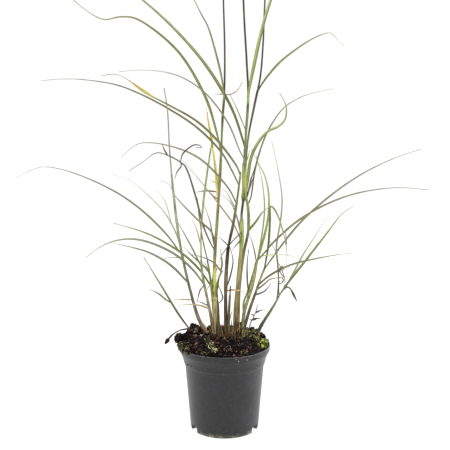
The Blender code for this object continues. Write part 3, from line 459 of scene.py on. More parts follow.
# Loose stubble between the feet: middle x and y and reach across and towards the viewer in mm, strips
LOOSE_STUBBLE = (4.0, -12.0, 34.0, 30.0, 130)

# Dry root over the left lip: (column, row, depth in mm)
DRY_ROOT = ((190.5, 328.5, 18), (185.0, 329.2, 16), (179.5, 330.4, 13), (173.5, 333.8, 8), (169.0, 338.5, 4),
            (165.0, 344.0, 2))
ROOT_RADIUS = 1.3 * MM
ROOTLET_RADIUS = 0.42 * MM
# Its rootlets: number of the point that they leave it at, spread to the left in mm
ROOTLETS = ((10, 5), (18, -4), (27, 6), (33, -5), (38, 4))


def in_space(column, row, depth):
    """Point at the given depth (y) that the reference picture shows at this column and row."""
    across = (column - CENTRE) / FOCAL
    up = (CENTRE - row) / FOCAL
    reach = (depth + EYE_DISTANCE) / (cos(EYE_PITCH) + up * sin(EYE_PITCH))
    rise = up * cos(EYE_PITCH) - sin(EYE_PITCH)
    return Vector((EYE.x + reach * across, depth, EYE_HEIGHT + reach * rise))


def in_picture(point):
    """Column and row where the reference picture shows a point: the inverse of in_space."""
    away = point.y + EYE_DISTANCE
    above = point.z - EYE_HEIGHT
    forward = away * cos(EYE_PITCH) - above * sin(EYE_PITCH)
    up = away * sin(EYE_PITCH) + above * cos(EYE_PITCH)
    return CENTRE + FOCAL * (point.x - EYE.x) / forward, CENTRE - FOCAL * up / forward


def clamp(value, low=0.0, high=1.0):
    """Value kept between low and high."""
    return min(max(value, low), high)


def soil_height(x, y):
    """Height of the mounded compost above the ground at x, y."""
    out = min(hypot(x, y) / LIP_RADIUS, 1.0)
    height = SOIL_EDGE + (SOIL_CROWN - SOIL_EDGE) * (1 - out ** MOUND_SHARPNESS)
    for heap_x, heap_y, radius, rise in SOIL_HEAPS:
        height += rise * exp(-((x - heap_x) ** 2 + (y - heap_y) ** 2) / radius ** 2)
    lumps = sin(210 * x + 1.3) * cos(190 * y - 0.4) + 0.6 * sin(390 * y + 240 * x)
    return height + SOIL_LUMP * lumps * (1 - out ** 4)


def on_soil(column, depth):
    """Point of the compost's surface at this depth that the picture shows in this column."""
    reach = (depth + EYE_DISTANCE) * cos(EYE_PITCH) + (EYE_HEIGHT - SOIL_CROWN) * sin(EYE_PITCH)
    x = EYE.x + reach * (column - CENTRE) / FOCAL
    return Vector((x, depth, soil_height(x, depth)))


def bed_height(x, y):
    """Height of the loose compost: the mound, rough, and settled away from the lip at the front."""
    out = hypot(x, y) / LIP_RADIUS
    front = max(0.0, -y / max(hypot(x, y), MM))
    settled = SETTLING * front ** 2 * clamp((out - 0.80) / 0.15)
    rough = sum(noise.noise(Vector((x, y, seed)) / size) * rise for seed, size, rise in BED_ROUGHNESS)
    return soil_height(x, y) - settled + rough * min(1.0, 6 * max(1.0 - out, 0.0))


def bed_point(x, y):
    """Point of the loose compost above x, y."""
    return Vector((x, y, bed_height(x, y)))


def bed_at(column, row):
    """Point of the loose compost that the reference picture shows at this column and row."""
    nearest = (1.0, 0.0, 0.0)
    for step in range(round(2 * LIP_RADIUS / BED_STEP)):
        point = in_space(column, row, BED_STEP * step - LIP_RADIUS)
        clearance = point.z - bed_height(point.x, point.y)
        nearest = min(nearest, (clearance, point.x, point.y))
        if clearance < 0:
            break
    return bed_point(*nearest[1:])


def on_bed(rng, reach):
    """Random point of the loose compost within this radius."""
    radius = reach * rng.random() ** 0.5
    angle = rng.uniform(0, tau)
    return bed_point(radius * cos(angle), radius * sin(angle))


def smooth_route(points, count, fineness=12):
    """Catmull-Rom curve through the points, read at count places an equal length apart."""
    points = [Vector(point) for point in points]
    last = len(points) - 1
    fine = [points[0]]
    for step in range(last):
        before, start = points[max(step - 1, 0)], points[step]
        end, after = points[step + 1], points[min(step + 2, last)]
        for i in range(fineness):
            t = (i + 1) / fineness
            square = 2 * before - 5 * start + 4 * end - after
            cube = 3 * start - before - 3 * end + after
            fine.append(0.5 * (2 * start + (end - before) * t + square * t ** 2 + cube * t ** 3))
    travelled = [0.0]
    for previous, current in zip(fine, fine[1:]):
        travelled.append(travelled[-1] + (current - previous).length)
    route = []
    place = 0
    for i in range(count):
        target = travelled[-1] * i / (count - 1)
        while place < len(fine) - 2 and travelled[place + 1] < target:
            place += 1
        share = (target - travelled[place]) / (travelled[place + 1] - travelled[place])
        route.append(fine[place].lerp(fine[place + 1], min(share, 1.0)))
    return route


def length_of(points):
    """Length of a line through the points."""
    return sum((b - a).length for a, b in zip(points, points[1:]))


def frame_at(points, i):
    """Directions along, across and towards the viewer of a line at its point i."""
    last = len(points) - 1
    along = (points[min(i + 1, last)] - points[max(i - 1, 0)]).normalized()
    across = along.cross(EYE - points[i]).normalized()
    return along, across, across.cross(along)


def strip_frame(points, i, degrees):
    """Directions across a strip and out of its face at point i, turned round the line from the viewer."""
    _, across, face = frame_at(points, i)
    angle = radians(degrees)
    return across * cos(angle) + face * sin(angle), face * cos(angle) - across * sin(angle)


def culm_route(name, count):
    """Picture route of a culm with its depth, as (column, row, depth) read at count places."""
    foot_depth, top_depth, _, _, _, _, route = CULMS[name]
    flat = smooth_route([(column, row, 0.0) for column, row in route], count)
    last = count - 1
    return [(p.x, p.y, (foot_depth + (top_depth - foot_depth) * i / last) * MM) for i, p in enumerate(flat)]


def culm_points(name, count):
    """Centre line of a culm in space, its first point on the compost."""
    route = culm_route(name, count)
    return [on_soil(route[0][0], route[0][2])] + [in_space(*place) for place in route[1:]]


def culm_radius(name, share):
    """Radius of a culm at a share of its length."""
    foot_radius, top_radius = CULMS[name][2:4]
    return (foot_radius + (top_radius - foot_radius) * share ** 0.8) * MM


def skin_radius(name, share):
    """Radius of a culm's skin at a share of its length."""
    foot, top = FULLER[name]
    return culm_radius(name, share) + (foot + (top - foot) * share) * MM


def culm_place(name, row, count=60):
    """Column, depth and radius of a culm where it passes this row, and the share of its length there."""
    route = culm_route(name, count)
    place = min(range(count), key=lambda i: abs(route[i][1] - row))
    share = place / (count - 1)
    return route[place][0], route[place][2], culm_radius(name, share), share


def culm_share(name, row):
    """Share of a culm's length at which it passes this row of the picture."""
    return culm_place(name, row, 120)[3]


def blade_width(width, share):
    """Width of a blade at a share of its length: narrow at the culm, widest at a third, pointed."""
    rise = min(1.0, 0.55 + 1.8 * share)
    taper = (1.0 - (max(0.0, share - 0.3) / 0.7) ** 1.9) ** 0.8
    return max(BLADE_FULLNESS * width * rise * taper, THINNEST_BLADE) * MM


def blade_points(route, root_depth, tip_depth, count):
    """Centre line of a blade in space, which leaves its root's depth more and more."""
    flat = smooth_route([(column, row, 0.0) for column, row in route], count)
    last = count - 1
    return [in_space(p.x, p.y, root_depth + (tip_depth - root_depth) * (i / last) ** 1.4)
            for i, p in enumerate(flat)]


class Pile:
    """Skins of many pieces, gathered to make one mesh with a place and a tone for each point."""

    def __init__(self):
        self.points = []
        self.faces = []
        self.places = []
        self.tones = []

    def shell(self, points, faces, tone=0.5):
        """Add a closed shell whose faces name its points by number."""
        start = len(self.points)
        self.points.extend(points)
        self.tones.extend([tone] * len(points))
        for face in faces:
            self.faces.append([start + corner for corner in face])
            self.places.extend([(0.5, 0.5)] * len(face))

    def loft(self, rings, tones=0.5, across=None, along=None):
        """Add a skin over rings of points, closed at both ends; across and along give its UV places."""
        start = len(self.points)
        sides = len(rings[0])
        last = len(rings) - 1
        across = across or [side / sides for side in range(sides + 1)]
        along = along or [number / last for number in range(last + 1)]
        tones = tones if isinstance(tones, list) else [tones] * len(rings)
        for ring, tone in zip(rings, tones):
            self.points.extend(ring)
            self.tones.extend([tone] * sides)
        for number in range(last):
            low = start + number * sides
            for side in range(sides):
                beside = (side + 1) % sides
                self.faces.append((low + side, low + beside, low + sides + beside, low + sides + side))
                for u, v in ((side, number), (side + 1, number), (side + 1, number + 1), (side, number + 1)):
                    self.places.append((across[u], along[v]))
        for first, share in ((start, along[0]), (start + last * sides, along[-1])):
            self.faces.append(range(first, first + sides))
            self.places.extend([(across[side], share) for side in range(sides)])

    def build(self, name, material, slot, *nodes, sharp=50.0):
        """Make the mesh, with its faces outwards, and the piece that stands for the named solids."""
        mesh = bpy.data.meshes.new(name)
        mesh.from_pydata([tuple(point) for point in self.points], [], [tuple(face) for face in self.faces])
        places = mesh.uv_layers.new(name="UVMap")
        places.uv.foreach_set("vector", np.array(self.places, dtype=np.float32).ravel())
        tones = mesh.attributes.new("tone", "FLOAT", "POINT")
        tones.data.foreach_set("value", np.array(self.tones, dtype=np.float32))
        shape = bmesh.new()
        shape.from_mesh(mesh)
        bmesh.ops.recalc_face_normals(shape, faces=shape.faces)
        shape.to_mesh(mesh)
        shape.free()
        mesh.shade_smooth()
        mesh.set_sharp_from_angle(angle=radians(sharp))
        mesh.materials.append(material)
        piece = link(bpy.data.objects.new(name, mesh))
        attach(piece, BODY)
        if nodes:
            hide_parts(*nodes)
        return piece


def link(thing):
    """Put an object in the scene."""
    bpy.context.scene.collection.objects.link(thing)
    return thing


def linear(colour):
    """Linear RGBA of an sRGB colour written as #rrggbb."""
    parts = [int(colour[i:i + 2], 16) / 255 for i in (1, 3, 5)]
    return (*(part / 12.92 if part <= 0.04045 else ((part + 0.055) / 1.055) ** 2.4 for part in parts), 1.0)


def per(size_mm):
    """Texture scale, for coordinates in metres, that gives a pattern of this size."""
    return 1.0 / (size_mm * MM)


def connect(tree, target, inputs):
    """Give a node's sockets their values: a socket, a node (its first output in use), #rrggbb or numbers."""
    for socket, value in inputs.items():
        if isinstance(value, bpy.types.Node):
            value = next(output for output in value.outputs if output.enabled)
        if isinstance(value, bpy.types.NodeSocket):
            tree.links.new(value, target.inputs[socket])
        else:
            target.inputs[socket].default_value = linear(value) if isinstance(value, str) else value


def node(tree, kind, inputs=None, stops=(), **settings):
    """Add a node with its settings, its inputs by socket, and a colour ramp's stops."""
    added = tree.nodes.new("ShaderNode" + kind)
    for setting, value in settings.items():
        setattr(added, setting, value)
    connect(tree, added, inputs or {})
    for number, (place, colour) in enumerate(stops):
        ramp = added.color_ramp.elements
        stop = ramp[number] if number < len(ramp) else ramp.new(place)
        stop.position = place
        stop.color = linear(colour)
    return added


# Socket numbers of the colour Mix node
FACTOR, FIRST, SECOND = 0, 6, 7


def new_material(name, roughness, ior=1.5, specular=0.5):
    """Material with its tree and its shader, whose constant values are set on the shader itself."""
    material = bpy.data.materials.new(name)
    material.use_nodes = True
    tree = material.node_tree
    shader = tree.nodes["Principled BSDF"]
    connect(tree, shader, {"Roughness": roughness, "IOR": ior, "Specular IOR Level": specular})
    return material, tree, shader


def blade_material(look):
    """Miscanthus blade, grown, ribbed and waxy: pale midrib, fine veins, drying edge, rust specks."""
    material, tree, shader = new_material("grass_blade_" + look, 0.48, ior=1.42, specular=0.4)
    spot = node(tree, "TexCoord").outputs
    place = node(tree, "SeparateXYZ", {"Vector": spot["UV"]}).outputs
    tint = node(tree, "ValToRGB", {"Fac": place["Y"]}, BLADE_LOOKS[look])
    # Veins are about 0.3 mm apart; drawn 0.5 mm apart so that they show
    stretched = node(tree, "Mapping", {"Vector": spot["UV"], "Scale": (9.0, 2.5, 1.0)})
    veins = node(tree, "TexNoise", {"Vector": stretched, "Scale": 1.0, "Detail": 3.0})
    vein_tone = node(tree, "ValToRGB", {"Fac": veins},
                     ((0.36, "#b4b4b4"), (0.5, "#e8e8e8"), (0.66, "#ffffff")))
    colour = node(tree, "Mix", {FACTOR: 1.0, FIRST: tint, SECOND: vein_tone},
                  data_type="RGBA", blend_type="MULTIPLY")
    # The midrib is about a tenth of the blade's width and paler than it
    aside = node(tree, "Math", {0: place["X"], 1: 0.5}, operation="SUBTRACT")
    aside = node(tree, "Math", {0: aside}, operation="ABSOLUTE")
    rib = node(tree, "ValToRGB", {"Fac": aside}, ((0.035, "#a0a0a0"), (0.075, "#000000")))
    # Patches of about 14 mm where the blade is older and yellower
    patches = node(tree, "TexNoise", {"Vector": spot["Object"], "Scale": per(14), "Detail": 3.0})
    old = node(tree, "ValToRGB", {"Fac": patches}, ((0.52, "#000000"), (0.72, "#8c8c8c")))
    # Rust specks of 0.8 mm and the brown, dry outermost tenth of the blade
    specks = node(tree, "TexNoise", {"Vector": spot["Object"], "Scale": per(1.6), "Detail": 1.0})
    rust = node(tree, "ValToRGB", {"Fac": specks}, ((0.70, "#000000"), (0.76, "#c0c0c0")))
    edge = node(tree, "ValToRGB", {"Fac": aside}, ((0.43, "#000000"), (0.5, "#8c8c8c")))
    browned = node(tree, "Math", {0: rust, 1: edge}, operation="MAXIMUM")
    for mask, over in ((rib, "#cfcf9c"), (old, "#9a8a52"), (browned, "#6b4a2e")):
        colour = node(tree, "Mix", {FACTOR: mask, FIRST: colour, SECOND: over}, data_type="RGBA")
    shine = node(tree, "MapRange", {"Value": veins, "To Min": 0.38, "To Max": 0.58})
    ribs = node(tree, "Bump", {"Strength": 0.35, "Distance": 0.15 * MM, "Height": veins})
    connect(tree, shader, {"Base Color": colour, "Roughness": shine, "Normal": ribs})
    return material


def culm_material(name):
    """Culm, grown and sheathed: smooth hollow cane, streaked along the fibres, with dark swollen joints."""
    material, tree, shader = new_material("grass_" + name, 0.5, ior=1.45, specular=0.2)
    spot = node(tree, "TexCoord").outputs
    place = node(tree, "SeparateXYZ", {"Vector": spot["UV"]}).outputs
    stops = [(culm_share(name, row), colour) for row, colour in CULMS[name][5]]
    tint = node(tree, "ValToRGB", {"Fac": place["Y"]}, stops)
    # Fibre streaks: nine round the cane, each some 30 mm long
    stretched = node(tree, "Mapping", {"Vector": spot["UV"], "Scale": (9.0, 22.0, 1.0)})
    streaks = node(tree, "TexNoise", {"Vector": stretched, "Scale": 1.0, "Detail": 4.0})
    streak_tone = node(tree, "ValToRGB", {"Fac": streaks},
                       ((0.36, "#8a847a"), (0.47, "#dcd8d0"), (0.6, "#ffffff")))
    # Painted shade and painted highlight: two broken dark lines run up the cane along its sides as seen from
    # the camera, and the middle that faces the camera is left palest
    aside = node(tree, "Math", {0: place["X"], 1: 0.5}, operation="SUBTRACT")
    aside = node(tree, "Math", {0: aside}, operation="ABSOLUTE")
    wander = node(tree, "MapRange", {"Value": streaks, "From Min": 0.3, "From Max": 0.7,
                                     "To Min": -0.035, "To Max": 0.035})
    side_shade_place = node(tree, "Math", {0: aside, 1: wander}, operation="ADD")
    painted_side_shade = node(tree, "ValToRGB", {"Fac": side_shade_place},
                 ((0.03, "#ffffff"), (0.10, "#dedede"), (0.17, "#8c8c8c"), (0.27, "#8c8c8c"),
                  (0.34, "#dedede")))
    colour = tint
    for tone in (streak_tone, painted_side_shade):
        colour = node(tree, "Mix", {FACTOR: 1.0, FIRST: colour, SECOND: tone},
                      data_type="RGBA", blend_type="MULTIPLY")
    # Dead skin in patches of about 9 mm, and the darker joints
    patches = node(tree, "TexNoise", {"Vector": spot["Object"], "Scale": per(9), "Detail": 4.0})
    dead = node(tree, "ValToRGB", {"Fac": patches}, ((0.55, "#000000"), (0.7, "#7c7c7c")))
    joint = node(tree, "Attribute", attribute_name="tone").outputs["Fac"]
    for mask, over in ((dead, "#8a6e4c"), (joint, "#4a3826")):
        colour = node(tree, "Mix", {FACTOR: mask, FIRST: colour, SECOND: over}, data_type="RGBA")
    shine = node(tree, "MapRange", {"Value": patches, "To Min": 0.32, "To Max": 0.6})
    grain = node(tree, "Bump", {"Strength": 0.4, "Distance": 0.12 * MM, "Height": streaks})
    connect(tree, shader, {"Base Color": colour, "Roughness": shine, "Normal": grain})
    return material


def toned_material(name, stops, roughness, grain_mm, bump_mm):
    """Dry organic matter: each piece has its own tone, mottled by a grain of this size."""
    material, tree, shader = new_material(name, roughness, ior=1.45, specular=0.14)
    spot = node(tree, "TexCoord").outputs["Object"]
    tone = node(tree, "Attribute", attribute_name="tone").outputs["Fac"]
    grain = node(tree, "TexNoise", {"Vector": spot, "Scale": per(grain_mm), "Detail": 4.0})
    shift = node(tree, "MapRange", {"Value": grain, "From Min": 0.3, "From Max": 0.7,
                                    "To Min": -0.16, "To Max": 0.16})
    mottled = node(tree, "Math", {0: tone, 1: shift}, operation="ADD")
    tint = node(tree, "ValToRGB", {"Fac": mottled}, stops)
    bump = node(tree, "Bump", {"Strength": 0.8, "Distance": bump_mm * MM, "Height": grain})
    shine = node(tree, "MapRange", {"Value": grain, "To Min": roughness - 0.1,
                                    "To Max": min(roughness + 0.1, 1.0)})
    connect(tree, shader, {"Base Color": tint, "Roughness": shine, "Normal": bump})
    return material


def peat_material():
    """Peat compost, milled and damp: near-black, crumbly, so it drinks the light between the crumbs."""
    material, tree, shader = new_material("peat_compost", 0.92, specular=0.1)
    spot = node(tree, "TexCoord").outputs["Object"]
    crumbs = node(tree, "TexNoise", {"Vector": spot, "Scale": per(3.5), "Detail": 6.0})
    tint = node(tree, "ValToRGB", {"Fac": crumbs},
                ((0.3, "#050303"), (0.5, "#0e0808"), (0.66, "#1c1210"), (0.8, "#30201a")))
    cells = node(tree, "TexVoronoi", {"Vector": spot, "Scale": per(2.4)})
    bump = node(tree, "Bump", {"Strength": 1.0, "Distance": 1.2 * MM, "Height": cells})
    shine = node(tree, "MapRange", {"Value": crumbs, "To Min": 0.8, "To Max": 1.0})
    connect(tree, shader, {"Base Color": tint, "Roughness": shine, "Normal": bump})
    return material


def pot_material():
    """Recycled polypropylene, thermoformed: satin dark grey, faint haze and flow streaks, muddy foot."""
    material, tree, shader = new_material("polypropylene_pot", 0.42, ior=1.49, specular=0.5)
    spot = node(tree, "TexCoord").outputs["Object"]
    height = node(tree, "SeparateXYZ", {"Vector": spot}).outputs["Z"]
    haze = node(tree, "TexNoise", {"Vector": spot, "Scale": per(45), "Detail": 4.0})
    colour = node(tree, "ValToRGB", {"Fac": haze}, ((0.3, "#0d0d0f"), (0.5, "#121214"), (0.7, "#17171a")))
    # Flow streaks run up the wall, 5 mm apart and some 80 mm long
    drawn = node(tree, "Mapping", {"Vector": spot, "Scale": (1.0, 1.0, 0.06)})
    streaks = node(tree, "TexNoise", {"Vector": drawn, "Scale": per(5), "Detail": 3.0})
    pale = node(tree, "ValToRGB", {"Fac": streaks}, ((0.5, "#000000"), (0.75, "#3c3c3c")))
    # Scuffs and dried splashes of about 4 mm
    scuffs = node(tree, "TexNoise", {"Vector": spot, "Scale": per(7), "Detail": 5.0, "Roughness": 0.7})
    scuff = node(tree, "ValToRGB", {"Fac": scuffs}, ((0.48, "#000000"), (0.7, "#565656")))
    # Painted highlight: a pale line along the step's upper edge, where the ledge catches the light
    step = node(tree, "MapRange", {"Value": height, "From Min": 114 * MM, "From Max": 122 * MM})
    painted_step_highlight = node(tree, "ValToRGB", {"Fac": step},
                  ((0.34, "#000000"), (0.44, "#6a6a6a"), (0.53, "#6a6a6a"), (0.6, "#000000")))
    # Dust specks of about 1.5 mm, mostly on the shoulder band
    specks = node(tree, "TexNoise", {"Vector": spot, "Scale": per(2.6), "Detail": 2.0})
    band = node(tree, "MapRange", {"Value": height, "From Min": 100 * MM, "From Max": 132 * MM,
                                   "To Min": 0.0, "To Max": 0.055})
    bright = node(tree, "Math", {0: specks, 1: band}, operation="ADD")
    dust = node(tree, "ValToRGB", {"Fac": bright}, ((0.725, "#000000"), (0.77, "#9a9a9a")))
    # Dark crumbs stuck to the band, about 2 mm
    dots = node(tree, "TexNoise", {"Vector": spot, "Scale": per(4.2), "Detail": 1.0})
    dark = node(tree, "Math", {0: dots, 1: band}, operation="SUBTRACT")
    soil = node(tree, "ValToRGB", {"Fac": dark}, ((0.235, "#c0c0c0"), (0.275, "#000000")))
    # Green-brown film of algae and mud near the foot, in patches of 9 mm, paler where it is dry
    low = node(tree, "MapRange", {"Value": height, "From Min": 2 * MM, "From Max": 18 * MM,
                                  "To Min": 1.0, "To Max": 0.0})
    film = node(tree, "TexNoise", {"Vector": spot, "Scale": per(9), "Detail": 6.0, "Roughness": 0.65})
    reach = node(tree, "Math", {0: film, 1: low}, operation="MULTIPLY")
    mud = node(tree, "ValToRGB", {"Fac": reach}, ((0.36, "#000000"), (0.5, "#d0d0d0")))
    dry = node(tree, "ValToRGB", {"Fac": scuffs}, ((0.42, "#3a3526"), (0.6, "#8c866e")))
    # Painted shade: the wall from just above the step up to the lip is darkened, for the flare that faces
    # slightly down
    painted_band_shade = node(tree, "MapRange", {"Value": height, "From Min": 116 * MM, "From Max": 121 * MM,
                                   "To Min": 0.0, "To Max": 0.55})
    # Silt caught along the lip, in smears of about 9 mm
    lip = node(tree, "MapRange", {"Value": height, "From Min": POT_HEIGHT - 3 * MM,
                                  "From Max": POT_HEIGHT - MM, "To Min": 0.0, "To Max": 1.0})
    smear = node(tree, "Math", {0: film, 1: lip}, operation="MULTIPLY")
    silt = node(tree, "ValToRGB", {"Fac": smear}, ((0.42, "#000000"), (0.6, "#b4b4b4")))
    for mask, over in ((pale, "#4c4c50"), (scuff, "#66666a"), (painted_step_highlight, "#7c7c80"), (dust, "#b4b2a8"),
                       (soil, "#15110f"), (mud, dry), (painted_band_shade, "#0a0a0b"), (silt, "#6e6a56")):
        colour = node(tree, "Mix", {FACTOR: mask, FIRST: colour, SECOND: over}, data_type="RGBA")
    # The mould's orange peel is about 0.8 mm across
    peel = node(tree, "TexNoise", {"Vector": spot, "Scale": per(0.8), "Detail": 2.0})
    bump = node(tree, "Bump", {"Strength": 0.12, "Distance": 0.1 * MM, "Height": peel})
    shine = node(tree, "MapRange", {"Value": haze, "To Min": 0.28, "To Max": 0.46})
    connect(tree, shader, {"Base Color": colour, "Roughness": shine, "Normal": bump})
    return material


def stage_material():
    """Opal acrylic light table, cast and matt: lit from behind, so it is an even white all over."""
    material, tree, shader = new_material("opal_acrylic_table", 0.9, specular=0.1)
    spot = node(tree, "TexCoord").outputs["Object"]
    mottle = node(tree, "TexNoise", {"Vector": spot, "Scale": per(60), "Detail": 3.0})
    tint = node(tree, "ValToRGB", {"Fac": mottle}, ((0.3, "#6a6a6c"), (0.7, "#6e6e70")))
    connect(tree, shader, {"Base Color": tint, "Emission Color": "#ffffff", "Emission Strength": 0.84})
    return material


def add_blade(pile, points, width, turn, clasp=0.0):
    """Thin folded blade with a midrib, which turns by turn degrees; clasp is how far it hugs its culm."""
    last = len(points) - 1
    upside = 1.0 if strip_frame(points, round(0.6 * last), 0.6 * turn)[1].z > 0 else -1.0
    travelled = 0.0
    rings = []
    for i, point in enumerate(points):
        travelled += (point - points[i - 1]).length if i else 0.0
        share = i / last
        side, up = strip_frame(points, i, turn * share)
        up *= upside
        half = blade_width(width, share) / 2
        fold = BLADE_FOLD + CLASP_FOLD * clasp * max(0.0, 1.0 - travelled / CLASP_LENGTH)
        thick = BLADE_SKIN * (2 - share)
        ripple = RIPPLE * half * sin(travelled / RIPPLE_LENGTH + points[0].x / MM) * share

        def skin(s, outward, midrib):
            """Point at place s of the section, on its upper (1) or lower (-1) face."""
            raised = fold * half * (abs(s) - 0.5) + ripple * s * abs(s)
            lift = outward * thick * (0.5 - 0.25 * abs(s)) - (midrib if s == 0 else 0.0)
            return point + side * (s * half) + up * (raised + lift)

        upper = [skin(s, 1, MIDRIB_GROOVE) for s in ACROSS]
        rings.append(upper + [skin(s, -1, MIDRIB_RIDGE * (1 - share)) for s in BACK_ACROSS])
    pile.loft(rings, across=[(s + 1) / 2 for s in ACROSS + BACK_ACROSS] + [0.0])


def ring_round(points, i, radius, sides=CULM_SIDES, tilt=0.0, towards=None):
    """Ring of points round a line at its point i; tilt raises the side that looks towards a direction."""
    along, across, face = frame_at(points, i)
    ring = []
    for side in range(sides):
        angle = tau * side / sides - pi / 2
        out = across * cos(angle) + face * sin(angle)
        rise = along * (tilt * out.dot(towards)) if towards else Vector()
        ring.append(points[i] + out * radius + rise)
    return ring


def add_stem(pile, points, radii, sides, tones=0.5, along=None):
    """Round closed stem along the points, thick as the radii say."""
    rings = [ring_round(points, i, radius, sides) for i, radius in enumerate(radii)]
    pile.loft(rings, tones, along=along)


def add_sheath(pile, name, points, shares, towards):
    """Leaf sheath that wraps its culm and ends in a slanting collar on the blade's side."""
    last = len(points) - 1
    rings = []
    for i, share in enumerate(shares):
        radius = skin_radius(name, share) + (0.12 + 0.3 * min(1.0, 3 * i / last)) * MM
        rings.append(ring_round(points, i, radius, tilt=COLLAR_SLANT * i / last, towards=towards))
    inner = 0.9 * skin_radius(name, shares[-1])
    rings.append(ring_round(points, last, inner, tilt=COLLAR_SLANT, towards=towards))
    pile.loft(rings, [0.0] * (len(rings) - 3) + [0.1, 0.2, 0.3], along=shares + shares[-1:])


def add_old_sheath(pile, name, points, low, high, extra):
    """Old sheath from row low up to row high of the picture, torn at its upper end."""
    last = len(points) - 1
    first = round(culm_share(name, low) * last)
    top = max(round(culm_share(name, high) * last), first + 8)
    picked = [i for i in range(first, top, max(1, (top - first) // 16)) if i <= last] + [min(top, last)]
    shares = [i / last for i in picked]
    towards = Vector((cos(low), sin(low), 0.0))
    rings = []
    for number, i in enumerate(picked):
        climb = number / (len(picked) - 1)
        grown = min(1.0, 0.35 + 2.5 * climb) * (1 - 0.35 * climb ** 3)
        radius = skin_radius(name, shares[number]) + extra * MM * grown
        rings.append(ring_round(points, i, radius, tilt=TORN_SLANT * climb ** 4, towards=towards))
    inner = 0.9 * skin_radius(name, shares[-1])
    rings.append(ring_round(points, picked[-1], inner, tilt=2.5 * MM, towards=towards))
    pile.loft(rings, [0.0] * (len(rings) - 2) + [0.3, 0.4], along=shares + shares[-1:])


def add_culm(name):
    """Culm with swollen joints, planted in the compost, and the sheaths of its blades."""
    count = round(length_of(culm_points(name, 40)) / CULM_STEP)
    points = culm_points(name, count)
    last = count - 1
    length = length_of(points)
    joints = [culm_share(name, row) for row in CULMS[name][4]]
    radii = []
    tones = []
    for i in range(count):
        beyond = [(i / last - joint) * length / MM for joint in joints]
        near = max([exp(-(mm / JOINT_REACH) ** 2) for mm in beyond] + [0.0])
        pinch = max([exp(-((mm - PINCH_RISE) / PINCH_REACH) ** 2) for mm in beyond] + [0.0])
        radii.append(skin_radius(name, i / last) * (1 + JOINT_SWELLING * near - JOINT_PINCH * pinch))
        tones.append(0.55 * near)
    buried = points[0] - (points[1] - points[0]).normalized() * PLANTING_DEPTH
    pile = Pile()
    add_stem(pile, [buried] + points, radii[:1] + radii, CULM_SIDES, [0.0] + tones,
             [0.0] + [i / last for i in range(count)])
    for _, culm, side, _, _, _, row, _ in BLADES.values():
        if culm != name:
            continue
        top = round(culm_share(name, row) * last)
        low = max(2, top - round(min(SHEATH_LENGTH, 0.4 * length) / (length / last)))
        if top - low > 6:
            picked = list(range(low, top, max(1, (top - low) // 14))) + [top]
            towards = Vector((0.0, 1.0 if side > 0 else -1.0, 0.0))
            add_sheath(pile, name, [points[i] for i in picked], [i / last for i in picked], towards)
    for low, high, extra in OLD_SHEATHS[name]:
        add_old_sheath(pile, name, points, low, high, extra)
    lines[name] = (points, radii)
    pile.build(name, culm_material(name), "culm", name)


def add_leaf(name, material, path, width, turn, clasp):
    """Blade that is a solid of its own, along a path."""
    points = smooth_route(path, round(length_of(path) / SAMPLE_STEP), fineness=4)
    pile = Pile()
    add_blade(pile, points, width, turn, clasp)
    lines[name] = (points, [0.5 * MM] * len(points))
    pile.build(name, material, "leaf", name)


def add_leaves(materials):
    """Every blade that is a solid of its own, each clasping its culm or growing out of the compost."""
    for name, (look, culm, side, tip_depth, width, turn, row, route) in BLADES.items():
        column, depth, radius, _ = culm_place(culm, row)
        root_depth = depth + side * (radius + GAP + BLADE_THICKNESS)
        path = blade_points(((column, row),) + route, root_depth, tip_depth * MM, 40)
        lead = []
        for below, hug in ((9, 0.75), (4.5, 1.0)):
            column, depth, radius, _ = culm_place(culm, row + below)
            lead.append(in_space(column, row + below, depth + side * hug * radius))
        add_leaf(name, materials[look], lead + path[:1] + path[2:], width, turn, 1.0)
    for name, (look, foot_depth, tip_depth, width, turn, route) in GROUND_BLADES.items():
        path = blade_points(route, foot_depth * MM, tip_depth * MM, 30)
        foot = on_soil(route[0][0], foot_depth * MM)
        lead = [foot + Vector((3.0, 0.0, -8.0)) * MM, foot + UP * 2 * MM]
        add_leaf(name, materials[look], lead + path[1:], width, turn, 0.6)


def place_on(name, column, row):
    """Point and radius of a stem or blade where the picture shows it nearest to this place."""
    points, radii = lines[name]

    def miss(i):
        """How far point i is from the place, mostly by its row."""
        across, down = in_picture(points[i])
        return abs(down - row) + 0.3 * abs(across - column)

    nearest = min(range(len(points)), key=miss)
    return points[nearest], radii[nearest]


def add_wisps(materials):
    """Hair-thin blades, curls and dry ends, each growing from a stem or blade."""
    piles = {}
    for name, (look, carrier, side, tip_depth, width, turn, row, route) in WISPS.items():
        foot, radius = place_on(carrier, route[0][0], row)
        column, _ = in_picture(foot)
        root_depth = foot.y + side * 0.6 * radius
        coarse = blade_points(((column, row),) + route, root_depth, tip_depth * MM, 24)
        points = smooth_route(coarse, max(12, round(length_of(coarse) / (2 * MM))), fineness=4)
        add_blade(piles.setdefault(look, Pile()), points, width, turn, clasp=0.3)
        lines[name] = (points, [0.4 * MM] * len(points))
    for look, pile in piles.items():
        pile.build("thin_blades_" + look, materials[look], "leaf")


def add_strip(pile, points, width, turn, tone, rng):
    """Papery strip of dead sheath, cupped, with a ragged tip."""
    rings = []
    for i, point in enumerate(points):
        side, up = strip_frame(points, i, turn)
        half = width / 2 * MM * (1 - 0.75 * (i / (len(points) - 1)) ** 3) * rng.uniform(0.85, 1.1)
        rings.append([point + side * half * s - up * (0.45 * half * s * s - lift * MM)
                      for lift, places in STRIP_SECTION for s in places])
    pile.loft(rings, tone)


